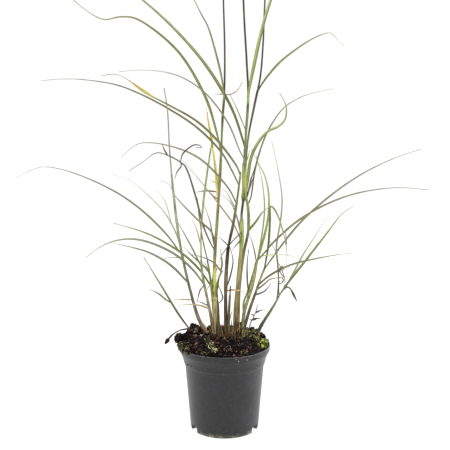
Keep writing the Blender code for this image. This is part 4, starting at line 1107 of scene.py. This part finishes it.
def add_stubble():
    """Dead sheaths: strips round the feet of the culms and loose ones between them."""
    rng = Random(21)
    pile = Pile()

    def bent(foot, end, buried, count):
        """Route from below the foot to the end, its middle pushed aside a little."""
        sway = Vector((rng.uniform(-1.5, 1.5), rng.uniform(-1.5, 1.5), 0.0)) * MM
        return smooth_route([foot - UP * buried * MM, foot.lerp(end, 0.5) + sway, end], count)

    for column, row, end_column, end_row, lean, width, tone in STUBBLE:
        foot = bed_at(column, row)
        points = bent(foot, in_space(end_column, end_row, foot.y + lean * MM), 4, 14)
        add_strip(pile, points, width, rng.uniform(-40, 40), tone, rng)
    middle_x, middle_y, reach_x, reach_y, strips = LOOSE_STUBBLE
    for _ in range(strips):
        around = rng.uniform(0, tau)
        out = rng.random() ** 0.5
        foot = bed_point((middle_x + reach_x * out * cos(around)) * MM,
                         (middle_y + reach_y * out * sin(around)) * MM)
        rise = Vector((rng.gauss(0, 0.45), rng.gauss(-0.1, 0.45), 1.0)) * rng.uniform(5, 13) * MM
        points = bent(foot, foot + rise, 3, 9)
        add_strip(pile, points, rng.uniform(1.6, 3.2), rng.uniform(-90, 90), rng.uniform(0.0, 0.76), rng)
    for name in CULMS:
        points, radii = lines[name]
        step = length_of(points) / (len(points) - 1)
        for _ in range(4 if radii[0] > 1.8 * MM else 2):
            count = max(6, min(len(points) - 2, round(rng.uniform(10, 34) * MM / step)))
            around = degrees(rng.uniform(0, tau))
            flare = rng.uniform(0.4, 3.2) * MM
            route = []
            for i in range(0, count, max(1, count // 10)):
                out, _ = strip_frame(points, i, around)
                route.append(points[i] + out * (radii[i] + 0.25 * MM + flare * (i / count) ** 2.5))
            route.insert(0, route[0] - UP * 4 * MM)
            add_strip(pile, route, rng.uniform(1.6, 2.8), around - 90, rng.uniform(0.1, 0.95), rng)
    pile.build("dead_sheaths", toned_material("dead_grass_sheath", STRAW_TONES, 0.7, 1.4, 0.2), "culm")


# Colours of dry matter by a piece's own tone, from damp and dark (0) to dry and pale (1)
STRAW_TONES = ((0.0, "#1c140f"), (0.25, "#40311f"), (0.5, "#6c5a3c"), (0.75, "#968058"), (1.0, "#c6ae84"))
CRUMB_TONES = ((0.0, "#020101"), (0.3, "#0a0605"), (0.5, "#190d09"), (0.7, "#3e251a"), (0.85, "#725542"),
               (1.0, "#c4b49e"))
FIBRE_TONES = ((0.0, "#0c0708"), (0.3, "#281b1d"), (0.6, "#58464a"), (0.85, "#8c787a"), (1.0, "#b8a6a0"))
MOSS_TONES = ((0.0, "#14160a"), (0.3, "#4a4f20"), (0.5, "#82883c"), (0.75, "#b9bf62"), (1.0, "#e6e9a0"))
DARK_MOSS_TONES = ((0.0, "#12100a"), (0.35, "#2e2d18"), (0.65, "#5c5a32"), (0.85, "#8e8a5c"),
                   (1.0, "#bdb88e"))
STRAND_TONES = ((0.0, "#15140b"), (0.35, "#3a3a20"), (0.65, "#6c6b3c"), (0.85, "#9e9a60"), (1.0, "#dedcae"))
ROOT_TONES = ((0.0, "#0e0a08"), (0.35, "#2a241c"), (0.7, "#4c483c"), (1.0, "#7c7664"))


def ball(level):
    """Points and faces of a unit icosphere, to be bent into crumbs and cushions."""
    shape = bmesh.new()
    bmesh.ops.create_icosphere(shape, subdivisions=level, radius=1.0)
    shape.verts.index_update()
    points = np.array([vertex.co[:] for vertex in shape.verts])
    faces = [[vertex.index for vertex in face.verts] for face in shape.faces]
    shape.free()
    return points, faces


# Balls of 12, 42, 162 and 642 points
GRIT, LUMP, CLOD, CUSHION = (ball(level) for level in (1, 2, 3, 4))


def random_unit(rng, rise=0.0):
    """Random direction; rise above 0 makes it look up more often than down."""
    return Vector((rng.gauss(0, 1), rng.gauss(0, 1), rng.gauss(rise, 1))).normalized()


def uneven(rng, size, low, high=1.1):
    """Three radii near this size, each times a random factor."""
    return [size * rng.uniform(low, high) for _ in range(3)]


def turned(yaw, pitch=0.0):
    """Rotation by angles in radians: pitch about the y axis, then yaw about the z axis."""
    return Matrix.Rotation(yaw, 3, "Z") @ Matrix.Rotation(pitch, 3, "Y")


def add_lump(pile, template, centre, radii, rough, tone, rng, turn=None):
    """Angular lump: the ball squeezed to the radii, its points pushed in and out at random."""
    points, faces = template
    push = np.array([1 + rng.uniform(-rough, rough) for _ in points])
    if turn is None:
        axis = random_unit(rng)
        turn = Matrix.Rotation(rng.uniform(0, tau), 3, axis)
    placed = (points * push[:, None] * np.array(radii)) @ np.array(turn).T + np.array(centre)
    pile.shell([Vector(point) for point in placed], faces, tone)


def crumb_tone(rng):
    """Tone of a crumb: mostly near-black, some brown, few pale."""
    pick = rng.random()
    if pick < 0.70:
        return rng.uniform(0.0, 0.4)
    if pick < 0.96:
        return rng.uniform(0.4, 0.72)
    return rng.uniform(0.72, 0.95)


def add_crumb(pile, number, centre, least, most, rough, rng):
    """Crumb of peat between two sizes in mm; every third one is a rounder lump."""
    size = rng.uniform(least, most) * MM
    add_lump(pile, GRIT if number % 3 else LUMP, centre, uneven(rng, size, 0.6), rough, crumb_tone(rng), rng)


def add_clod(pile, template, centre, radii, tone, rough, turn=Matrix.Identity(3)):
    """Clod of peat: the ball squeezed to the radii and swollen here and there."""
    points = []
    for unit in template[0]:
        swell = 1.0 + rough * noise.noise(Vector(unit) * 1.7 + centre / (6 * MM))
        swell += 0.5 * rough * noise.noise(Vector(unit) * 4.1 + centre / (3 * MM))
        points.append(centre + turn @ (Vector(unit) * Vector(radii) * swell))
    pile.shell(points, template[1], tone)


def add_fibre(pile, root, direction, length, thick, tone, rng):
    """Curved thread of root or moss that starts at the root point and thins to its tip."""
    points = [root]
    heading = direction.normalized()
    for _ in range(4):
        heading = (heading + Vector((rng.gauss(0, 0.3), rng.gauss(0, 0.3), rng.gauss(0, 0.25)))).normalized()
        points.append(points[-1] + heading * length / 4)
    points = smooth_route(points, 7, fineness=4)
    add_stem(pile, points, [thick * (1 - 0.1 * i) for i in range(7)], 5, tone)


def circle(radius, sides):
    """Places (x, y) on a circle round the pot's axis."""
    angles = [tau * side / sides for side in range(sides)]
    return [(radius * cos(angle), radius * sin(angle)) for angle in angles]


def add_bed():
    """Rough mound of compost that fills the pot from its neck up."""
    rings, sides = 56, 120
    edge = FLARE_TOP_RADIUS - POT_WALL - GAP
    points = [bed_point(0.0, 0.0)]
    for ring in range(1, rings + 1):
        places = circle(edge * ring / rings, sides)
        points += [Vector((x, y, max(bed_height(x, y), FLARE_TOP))) for x, y in places]
    for radius, height in ((FLARE_RADIUS, FLARE_BOTTOM), (NECK_RADIUS, NECK_HEIGHT)):
        points += [Vector((x, y, height)) for x, y in circle(radius - POT_WALL - GAP, sides)]
    points.append(UP * NECK_HEIGHT)
    faces = [(0, 1 + side, 1 + (side + 1) % sides) for side in range(sides)]
    for low in range(1, 1 + (rings + 1) * sides, sides):
        for side in range(sides):
            beside = (side + 1) % sides
            faces.append((low + side, low + sides + side, low + sides + beside, low + beside))
    low = 1 + (rings + 1) * sides
    faces += [(low + side, len(points) - 1, low + (side + 1) % sides) for side in range(sides)]
    pile = Pile()
    pile.shell(points, faces)
    pile.build("compost", peat_material(), "compost", "soil")


def add_crumbs(rng):
    """Crumbs of peat all over the mound, and the larger clods with crumbs round them."""
    pile = Pile()
    for number in range(CRUMBS):
        point = on_bed(rng, LIP_RADIUS - 3.5 * MM)
        big = number % 4 == 0
        size = rng.uniform(*(LARGE_CRUMB if big else SMALL_CRUMB)) * MM
        radii = uneven(rng, size, 0.5)
        patch = 0.45 * noise.noise(point / (9 * MM)) - 0.04
        point.z += size * rng.uniform(-0.2, 0.8)
        add_lump(pile, LUMP if big else GRIT, point, radii, 0.3, clamp(crumb_tone(rng) + patch), rng)
    for column, row, depth, radius, tone in CLODS:
        centre = in_space(column, row, depth * MM)
        centre.z = min(centre.z, bed_height(centre.x, centre.y) + 0.75 * radius * MM)
        add_clod(pile, CLOD, centre, uneven(rng, radius * MM, 0.8, 1.15), tone, 0.7)
        for _ in range(CRUMBS_PER_CLOD):
            out = random_unit(rng)
            size = rng.uniform(0.7, 1.9) * MM
            add_lump(pile, GRIT, centre + out * radius * 0.9 * MM, [size] * 3, 0.35, crumb_tone(rng), rng)
    pile.build("compost_crumbs", toned_material("peat_crumbs", CRUMB_TONES, 0.85, 1.2, 0.4), "compost",
               sharp=CRUMB_SHARP)


def add_chips(rng):
    """Flat chips of bark: scattered ones, and those that the picture shows."""
    pile = Pile()
    for _ in range(CHIPS):
        point = on_bed(rng, LIP_RADIUS - 8 * MM)
        length = rng.uniform(*CHIP_LENGTH) * MM
        lie = turned(rng.uniform(0, tau), rng.uniform(-0.7, 0.7))
        point.z += rng.uniform(0.4, 2.0) * MM
        radii = (length, length * rng.uniform(0.25, 0.5), length * rng.uniform(0.12, 0.3))
        add_lump(pile, LUMP, point, radii, 0.2, rng.uniform(0.3, 0.8), rng, lie)
    for column, row, length, heading, tone in BARK_CHIPS:
        radii = Vector((1.0, 0.36, 0.2)) * length * MM
        lie = turned(radians(heading), radians(12))
        add_lump(pile, LUMP, bed_at(column, row) + UP * 1.6 * MM, radii, 0.22, tone, rng, lie)
    pile.build("bark_chips", toned_material("composted_bark", CRUMB_TONES, 0.8, 0.9, 0.25), "compost",
               sharp=CRUMB_SHARP)


def add_fibres(rng):
    """Dead rootlets on the mound."""
    pile = Pile()
    for number in range(FIBRES):
        point = on_bed(rng, LIP_RADIUS - 6 * MM)
        direction = Vector((rng.gauss(0, 1), rng.gauss(0, 1), rng.gauss(0.45, 0.5)))
        thick = rng.uniform(0.24, 0.46) if number % 3 else rng.uniform(0.45, 0.8)
        length = rng.uniform(*FIBRE_LENGTH) * MM
        add_fibre(pile, point, direction, length, thick * MM, clamp(rng.gauss(0.32, 0.26)), rng)
    pile.build("root_fibres", toned_material("dry_root_fibre", FIBRE_TONES, 0.8, 0.9, 0.15), "dry_root")


def add_clod_over_lip():
    """Clod of compost, crumbs and threads that hangs over the left lip."""
    rng = Random(17)
    pile = Pile()
    centre, radii, yaw = CLOD_OVER_LIP
    centre, radii, turn = Vector(centre) * MM, Vector(radii) * MM, turned(radians(yaw))
    add_clod(pile, CUSHION, centre, radii * 0.68, 0.1, 0.8, turn)
    for number in range(LIP_CRUMBS):
        unit = random_unit(rng, 0.2)
        point = centre + turn @ (unit * radii * Vector(uneven(rng, 1.0, 0.62, 1.14)))
        if point.z < POT_HEIGHT + MM and hypot(point.x, point.y) < LIP_RADIUS:
            continue
        add_crumb(pile, number, point, 0.7, 2.4, 0.35, rng)
        if number % 6 == 0:
            add_fibre(pile, point, unit, rng.uniform(3, 7) * MM, 0.35 * MM, rng.uniform(0.2, 0.8), rng)
    pile.build("compost_clod", toned_material("peat_clod", CRUMB_TONES, 0.88, 1.4, 0.4), "compost",
               "compost_clod", sharp=CRUMB_SHARP)


# Clods of peat on the mound: column and row of the middle, depth and radius in mm, tone
CLODS = (
    (192.6, 325.6, 20, 4.4, 0.05), (189.5, 333.0, 5, 5.6, 0.5), (198.2, 329.2, 12, 5.2, 0.46),
    (184.4, 335.8, 14, 4.4, 0.12), (194.0, 331.0, 8, 4.6, 0.36), (208.4, 329.0, 10, 4.8, 0.1),
    (203.0, 331.5, 4, 4.0, 0.4), (187.0, 339.5, -6, 4.6, 0.3), (192.5, 341.5, -18, 4.2, 0.5),
    (252.2, 329.4, 22, 4.2, 0.08), (247.2, 329.8, 24, 3.8, 0.12), (257.0, 330.6, 18, 3.6, 0.2),
    (261.4, 331.8, 14, 3.4, 0.04), (263.8, 334.4, 8, 3.4, 0.02), (266.8, 338.4, 4, 2.8, 0.5),
    (221.5, 327.0, 24, 4.0, 0.1), (229.0, 327.5, 24, 4.0, 0.1), (214.0, 327.5, 26, 3.6, 0.2),
    (199.0, 346.0, -30, 4.2, 0.1), (222.0, 349.0, -42, 4.0, 0.08), (240.0, 346.0, -36, 4.2, 0.06),
    (230.0, 353.0, -54, 3.8, 0.1), (250.0, 349.0, -44, 3.8, 0.12), (207.0, 352.0, -50, 3.6, 0.2),
)
# Bark chips that the picture shows: column, row, half length in mm, heading in degrees, tone
BARK_CHIPS = (
    (201.0, 351.5, 6.5, -24, 0.62), (196.0, 350.0, 4.5, 30, 0.55), (188.5, 343.5, 4.0, 60, 0.82),
    (191.5, 346.5, 4.5, -40, 0.74), (186.0, 346.5, 3.6, 10, 0.86), (195.5, 337.5, 6.0, -70, 0.7),
    (212.0, 343.0, 4.4, 80, 0.6), (246.5, 353.0, 4.6, 70, 0.78), (243.5, 351.5, 3.8, 20, 0.66),
    (234.0, 347.0, 3.8, 50, 0.64), (227.5, 351.0, 3.6, -50, 0.6), (256.5, 333.0, 5.0, 35, 0.8),
)
# Centre, radii in mm and turn in degrees of the clod over the left lip
CLOD_OVER_LIP = ((-79.0, 6.0, 157.5), (9.5, 15.0, 7.5), 4.0)

# Moss cushions: centre, radii and turn of the solids, colours, number of shoots and of crumbs
MOSS = {
    "moss_left": ((-69.5, -31.5, 151.5), (8.3, 25.0, 8.3), 21.4, DARK_MOSS_TONES, 760, 300),
    "moss_right": ((65.0, -20.0, 156.0), (9.0, 20.0, 6.5), -14.0, MOSS_TONES, 1500, 50),
}
# Mats of moss threads on the compost: column and row of the middle, spread across and down in picture
# columns, number of threads, tone
MOSS_MATS = (
    (249.0, 333.5, 6.5, 4.0, 420, 0.42), (241.0, 336.5, 4.0, 3.0, 150, 0.38),
    (256.0, 339.5, 3.0, 3.4, 140, 0.41), (211.8, 346.5, 2.6, 3.6, 150, 0.55),
    (215.0, 351.3, 1.0, 1.0, 45, 1.0), (208.0, 341.0, 3.0, 3.0, 40, 0.4),
    (214.0, 333.0, 5.0, 2.5, 40, 0.5), (233.0, 335.0, 5.0, 3.0, 60, 0.5),
    (204.0, 354.5, 6.0, 1.0, 16, 0.25), (243.0, 353.5, 5.0, 1.6, 30, 0.4),
)
# One leaflet: a flat pointed bud, its points in shares of its width, thickness and length
LEAFLET = ((0, 0, 0), (0.5, 0, 0.45), (0, 0.5, 0.4), (-0.5, 0, 0.45), (0, -0.5, 0.4), (0, 0.2, 1))
LEAFLET_FACES = ((0, 2, 1), (0, 3, 2), (0, 4, 3), (0, 1, 4), (5, 1, 2), (5, 2, 3), (5, 3, 4), (5, 4, 1))


def add_leaflet(pile, root, direction, width, length, tone, spin):
    """Single moss leaflet that grows from the root in this direction."""
    turn = direction.to_track_quat("Z", "Y").to_matrix() @ turned(spin)
    points = [root + turn @ Vector((x * width, y * width * 0.4, z * length)) for x, y, z in LEAFLET]
    pile.shell(points, LEAFLET_FACES, tone)


def add_shoot(pile, root, outward, tone, rng):
    """Rosette of moss leaflets."""
    for _ in range(LEAFLETS_PER_SHOOT):
        direction = (outward + 0.85 * random_unit(rng)).normalized()
        width, length = rng.uniform(*LEAFLET_WIDTH) * MM, rng.uniform(*LEAFLET_LENGTH) * MM
        own_tone = clamp(tone + rng.uniform(-0.25, 0.25))
        add_leaflet(pile, root - outward * 0.5 * MM, direction, width, length, own_tone, rng.uniform(0, tau))


def add_cushion(name, centre, radii, yaw, tones, shoots, lumps, rng):
    """Moss cushion over the lip, made of shoots on a dark core, and the crumbs caught in it."""
    pile, crumbs = Pile(), Pile()
    middle, radii, turn = Vector(centre) * MM, Vector(radii) * MM, turned(radians(yaw))

    def skin(unit, grow=1.0):
        """Point of the lumpy cushion in this direction from its middle."""
        swell = 0.92 + 0.2 * noise.noise(Vector(unit) * 3.1 + middle * 50)
        return middle + turn @ (Vector(unit) * radii * swell * grow)

    pile.shell([skin(unit, 0.9) for unit in CUSHION[0]], CUSHION[1], 0.0)
    for number in range(shoots + lumps):
        unit = random_unit(rng)
        root = skin(unit)
        outward = (turn @ Vector(unit[i] / radii[i] for i in range(3))).normalized()
        inside = hypot(root.x, root.y) < LIP_RADIUS - 2 * MM
        if inside and root.z < bed_height(root.x, root.y) - MM or root.z < MOSS_FLOOR:
            continue
        if number < shoots:
            # Painted shade: shoots in noise patches of about 5 mm get a darker tone, for the shaded hollows
            # between the tufts
            patch = noise.noise(root / (5 * MM)) * 1.2
            add_shoot(pile, root, outward, clamp(0.52 + patch, 0.02, 0.98), rng)
        elif outward.z > 0.1:
            add_crumb(crumbs, number, root, 0.8, 2.5, 0.32, rng)
    pile.build(name, toned_material(name + "_cushion", tones, 0.8, 2.5, 0.2), "moss", name)
    crumbs.build("crumbs_on_" + name, bpy.data.materials["peat_crumbs"], "compost", sharp=CRUMB_SHARP)


def add_moss():
    """Moss cushions over the lip, and mats of moss threads on the compost."""
    rng = Random(11)
    for name, cushion in MOSS.items():
        add_cushion(name, *cushion, rng)
    pile = Pile()
    for column, row, across, down, threads, tone in MOSS_MATS:
        for _ in range(threads):
            root = bed_at(column + rng.gauss(0, 0.5) * across, row + rng.gauss(0, 0.5) * down)
            if hypot(root.x, root.y) > LIP_RADIUS - 4 * MM:
                continue
            root.z += rng.uniform(-0.5, 1.5) * MM
            direction = Vector((rng.gauss(0, 0.9), rng.gauss(0, 0.9), 0.45))
            length, thick = rng.uniform(*THREAD_LENGTH) * MM, rng.uniform(*THREAD_THICKNESS) * MM
            add_fibre(pile, root, direction, length, thick, clamp(tone + rng.gauss(0.06, 0.36)), rng)
    pile.build("moss_threads", toned_material("moss_thread", STRAND_TONES, 0.8, 1.5, 0.2), "moss")


# Crumbs stuck to the pot's band: column, row, radius in mm, tone
STUCK_CRUMBS = (
    (236.0, 359.6, 0.9, 0.95), (238.5, 361.6, 1.2, 1.0), (241.5, 358.6, 0.7, 0.9), (246.8, 360.0, 1.1, 0.95),
    (249.5, 357.2, 0.8, 0.85), (253.0, 356.4, 0.7, 0.8), (256.0, 357.5, 0.6, 0.75), (243.5, 363.5, 0.5, 0.8),
    (187.0, 365.0, 1.2, 0.05), (191.2, 366.2, 1.0, 0.1), (257.0, 365.0, 0.9, 0.05), (259.2, 371.0, 0.8, 0.1),
    (186.5, 358.0, 0.7, 0.2), (200.0, 359.0, 0.6, 0.3), (262.5, 356.0, 0.8, 0.15), (212.0, 361.0, 0.5, 0.8),
    (264.5, 352.5, 0.8, 0.2), (222.0, 360.6, 0.7, 0.85), (229.0, 361.0, 0.5, 0.8),
)


def add_stuck_crumbs():
    """Crumbs of peat and perlite that cling to the band under the lip."""
    rng = Random(23)
    pile = Pile()
    for column, row, radius, tone in STUCK_CRUMBS:
        depth = -0.7 * LIP_RADIUS
        # Find where the line of sight meets the flared wall
        for _ in range(12):
            point = in_space(column, row, depth)
            share = clamp((point.z - NECK_HEIGHT) / (POT_HEIGHT - NECK_HEIGHT))
            wall = NECK_RADIUS + (LIP_RADIUS - NECK_RADIUS) * min(1.25 * share, 1.0)
            depth = -max(wall ** 2 - point.x ** 2, 0.0) ** 0.5
        add_lump(pile, LUMP, point, Vector((1.0, 0.8, 0.7)) * radius * MM, 0.3, tone, rng)
    pile.build("crumbs_on_pot", bpy.data.materials["peat_crumbs"], "compost", sharp=CRUMB_SHARP)


def add_dry_root():
    """Dry root that lies over the lip, knobbly, with a blackened end and side rootlets."""
    rng = Random(5)
    count = 46
    points = [in_space(p.x, p.y, p.z * MM) for p in smooth_route(DRY_ROOT, count)]
    radii = []
    for i in range(count):
        share = i / (count - 1)
        radii.append((1.0 + 0.22 * sin(9 * share + 1) + rng.uniform(-0.12, 0.12)) * ROOT_RADIUS)
        if share > 0.8:
            radii[-1] *= 1.0 + 1.5 * sin(pi * (share - 0.8) / 0.2) ** 0.8
    pile = Pile()
    add_stem(pile, points, radii, 12, [0.6 - 0.55 * max(0.0, i / count - 0.45) / 0.55 for i in range(count)])
    for start, spread in ROOTLETS:
        root = points[start]
        tip = root + Vector((-spread * 0.9, -2.0, -4.5)) * MM
        bend = root.lerp(tip, 0.5) + Vector((0.0, -1.0, 1.4)) * MM
        radii = [ROOTLET_RADIUS * (1 - 0.07 * i) for i in range(9)]
        add_stem(pile, smooth_route([root, bend, tip], 9), radii, 6, 0.35)
    material = toned_material("dry_root_bark", ROOT_TONES, 0.8, 1.5, 0.3)
    pile.build("dry_root", material, "dry_root", "dry_root")


# Stem of the seedling: column and row of its foot, then of the points above it
WEED_FOOT = (249.0, 330.0)
WEED_STEM = ((250.2, 324), (252.1, 320.3), (253.4, 317.4), (255.6, 312.3), (257.5, 305))
# Leaves of the seedling: place on its stem, column and row of the tip, width in mm
WEED_LEAVES = (
    (25, 259.4, 312.2, 2.8), (26, 265.0, 309.8, 2.2), (15, 256.0, 320.2, 3.4), (16, 260.6, 318.7, 3.2),
    (21, 250.5, 314.5, 2.4), (14, 249.6, 319.6, 2.4),
)


def add_weed(materials):
    """Seedling weed at the right of the clump: one thin stem with small leaves."""
    pile = Pile()
    foot = bed_at(*WEED_FOOT)
    route = [foot - UP * 3 * MM]
    route += [in_space(*place, foot.y - step * 1.5 * MM) for step, place in enumerate(WEED_STEM)]
    points = smooth_route(route, 36)
    add_stem(pile, points, [(1.2 - 0.012 * i) * MM for i in range(36)], 8)
    for place, column, row, width in WEED_LEAVES:
        root = points[place]
        tip = in_space(column, row, root.y - 2 * MM)
        bend = root.lerp(tip, 0.5) + UP * 0.8 * MM
        add_blade(pile, smooth_route([root, bend, tip], 12), width, 30)
    pile.build("weed_seedling", materials["dark"], "leaf")


def pot_profile():
    """Closed wall profile of the pot as (radius, height), eased at each corner."""
    inside = [
        (0.0, POT_WALL),
        (FOOT_RADIUS - POT_WALL - 3 * MM, POT_WALL),
        (FOOT_RADIUS - POT_WALL, POT_WALL + 2 * MM),
        (BODY_RADIUS - POT_WALL, STEP_BOTTOM),
        (SHOULDER_RADIUS - POT_WALL, STEP_TOP),
        (NECK_RADIUS - POT_WALL, NECK_HEIGHT),
        (FLARE_RADIUS - POT_WALL, FLARE_BOTTOM),
        (FLARE_TOP_RADIUS - POT_WALL, FLARE_TOP),
        (LIP_RADIUS - POT_WALL, POT_HEIGHT - 0.5 * MM),
        (LIP_RADIUS - POT_WALL + 0.5 * MM, POT_HEIGHT),
    ]
    outside = [
        (LIP_RADIUS - 0.5 * MM, POT_HEIGHT),
        (LIP_RADIUS, POT_HEIGHT - 0.5 * MM),
        (LIP_RADIUS, POT_HEIGHT - 2.2 * MM),
        (FLARE_TOP_RADIUS, FLARE_TOP),
        (FLARE_TOP_RADIUS - 1.8 * MM, FLARE_TOP - 2.2 * MM),
        (FLARE_RADIUS + 1.0 * MM, FLARE_BOTTOM + 2.0 * MM),
        (FLARE_RADIUS, FLARE_BOTTOM),
        (NECK_RADIUS, NECK_HEIGHT),
        (NECK_RADIUS - 0.6 * MM, NECK_HEIGHT - 4 * MM),
        (SHOULDER_RADIUS + 0.25 * MM, STEP_TOP + 1.5 * MM),
        (SHOULDER_RADIUS, STEP_TOP),
        (SHOULDER_RADIUS - 0.4 * MM, STEP_TOP - 0.5 * MM),
        (BODY_RADIUS + 0.3 * MM, STEP_BOTTOM + 0.3 * MM),
        (BODY_RADIUS, STEP_BOTTOM - 0.3 * MM),
        (BODY_RADIUS - 0.35 * MM, STEP_BOTTOM - 3 * MM),
        (FOOT_RADIUS + 0.3 * MM, 5 * MM),
        (FOOT_RADIUS, 2 * EDGE_ROUND),
        (FOOT_RADIUS - 0.25 * EDGE_ROUND, 0.6 * EDGE_ROUND),
        (FOOT_RADIUS - EDGE_ROUND, 0.0),
        (FOOT_RADIUS - 5 * MM, 0.0),
        (FOOT_RADIUS - 6 * MM, 0.6 * MM),
        (0.0, 0.6 * MM),
    ]
    return inside + outside


def cut_notches(pot):
    """Cut the drain notches, rounded slots through the foot of the wall, out of the pot."""
    cutters = []
    for around in DRAIN_ANGLES:
        angle = radians(around)
        shape = bmesh.new()
        bmesh.ops.create_cube(shape, size=1.0)
        bmesh.ops.scale(shape, vec=(DRAIN_WIDTH, 2 * DRAIN_DEPTH, 2 * DRAIN_HEIGHT), verts=shape.verts)
        level = [edge for edge in shape.edges if abs(edge.verts[0].co.y - edge.verts[1].co.y) > DRAIN_DEPTH]
        bmesh.ops.bevel(shape, geom=level, offset=DRAIN_ROUND, segments=6, profile=0.5, affect="EDGES")
        mesh = bpy.data.meshes.new("drain_notch")
        shape.to_mesh(mesh)
        shape.free()
        cutter = link(bpy.data.objects.new("drain_notch", mesh))
        cutter.location = (FOOT_RADIUS * sin(angle), -FOOT_RADIUS * cos(angle), 0.0)
        cutter.rotation_euler = (0.0, 0.0, angle)
        pot.modifiers.new("Notch", "BOOLEAN").object = cutter
        cutters.append(cutter)
    bpy.context.view_layer.update()
    evaluated = pot.evaluated_get(bpy.context.evaluated_depsgraph_get())
    cut_mesh = bpy.data.meshes.new_from_object(evaluated)
    pot.modifiers.clear()
    pot.data = cut_mesh
    for cutter in cutters:
        bpy.data.objects.remove(cutter)


def add_pot():
    """Thin-walled nursery pot, turned from its profile, with drain notches cut at its foot."""
    steps = 192
    points = []
    rows = []
    for radius, height in pot_profile():
        if radius == 0.0:
            rows.append([len(points)] * steps)
            points.append(Vector((0.0, 0.0, height)))
            continue
        rows.append(list(range(len(points), len(points) + steps)))
        for step in range(steps):
            angle = tau * step / steps
            # Thin plastic is never quite round
            out = radius * (1 - OUT_OF_ROUND * (height / POT_HEIGHT) * (1 + cos(2 * angle + 0.6)))
            points.append(Vector((out * cos(angle), out * sin(angle), height)))
    faces = []
    for row, above in zip(rows, rows[1:]):
        for step in range(steps):
            beside = (step + 1) % steps
            faces.append(tuple(dict.fromkeys((row[step], row[beside], above[beside], above[step]))))
    pile = Pile()
    pile.shell(points, faces)
    cut_notches(pile.build("pot_shell", pot_material(), "pot_plastic", "pot", sharp=38.0))


# Soft boxes: name, place, width and height, power in watts
STUDIO_LIGHTS = (
    ("left_box", (-1.9, 0.35, 0.6), (0.9, 1.8), 60.0),
    ("right_box", (1.9, 0.35, 0.6), (0.9, 1.8), 75.0),
    ("top_box", (0.0, 0.4, 2.8), (2.4, 2.4), 66.0),
    ("front_fill", (0.0, -2.4, 1.4), (2.0, 1.2), 5.0),
)
AIM = Vector((0.0, 0.0, 0.3))

# Light table: half its width, its front and back edge, and the bend and top of the wall behind
TABLE_SIDE = 6.0
TABLE_FRONT, TABLE_BACK = -4.0, 3.0
WALL_BEND, WALL_TOP = 1.5, 6.0


def add_table():
    """Light table that curves up into a wall far behind the plant."""
    bend = [t * pi / 16 for t in range(9)]
    rows = [(TABLE_FRONT, 0.0)]
    rows += [(TABLE_BACK + WALL_BEND * sin(turn), WALL_BEND * (1 - cos(turn))) for turn in bend]
    rows += [(TABLE_BACK + WALL_BEND, WALL_TOP)]
    shape = bmesh.new()
    strips = [[shape.verts.new((x, y, z)) for x in (-TABLE_SIDE, TABLE_SIDE)] for y, z in rows]
    for (left, right), (next_left, next_right) in zip(strips, strips[1:]):
        shape.faces.new((left, right, next_right, next_left))
    mesh = bpy.data.meshes.new("studio_floor")
    shape.to_mesh(mesh)
    shape.free()
    mesh.shade_smooth()
    mesh.materials.append(stage_material())
    link(bpy.data.objects.new("studio_floor", mesh))


def add_lights():
    """Soft boxes round the plant, and the white room's own light."""
    for name, place, size, power in STUDIO_LIGHTS:
        lamp = bpy.data.lights.new(name, "AREA")
        lamp.shape = "RECTANGLE"
        lamp.size, lamp.size_y = size
        lamp.energy = power
        light = link(bpy.data.objects.new(name, lamp))
        light.location = place
        light.rotation_euler = (AIM - Vector(place)).to_track_quat("-Z", "Y").to_euler()
    world = bpy.data.worlds.new("white_studio")
    world.use_nodes = True
    connect(world.node_tree, world.node_tree.nodes["Background"], {"Color": "#ffffff", "Strength": 1.0})
    bpy.context.scene.world = world
    bpy.context.scene.view_settings.view_transform = "Standard"


def add_camera():
    """Camera with the view of the reference picture."""
    lens = bpy.data.cameras.new("picture_camera")
    lens.sensor_width = SENSOR_MM
    lens.lens = SENSOR_MM * FOCAL / PICTURE
    lens.clip_end = 50.0
    camera = link(bpy.data.objects.new("picture_camera", lens))
    camera.location = EYE
    camera.rotation_euler = (pi / 2 - EYE_PITCH, 0.0, 0.0)
    bpy.context.scene.camera = camera


# Centre line and radii of each finished stem and blade, for what grows from it
lines = {}


def main():
    """Stage first, then the pot and what fills it, then the plant from its culms outwards."""
    add_table()
    add_lights()
    add_camera()
    add_pot()
    bed_rng = Random(7)
    add_bed()
    add_crumbs(bed_rng)
    add_chips(bed_rng)
    add_fibres(bed_rng)
    add_clod_over_lip()
    add_stuck_crumbs()
    blade_materials = {look: blade_material(look) for look in BLADE_LOOKS}
    for name in CULMS:
        add_culm(name)
    add_leaves(blade_materials)
    add_wisps(blade_materials)
    add_stubble()
    add_moss()
    add_dry_root()
    add_weed(blade_materials)


main()
bpy.context.view_layer.update()
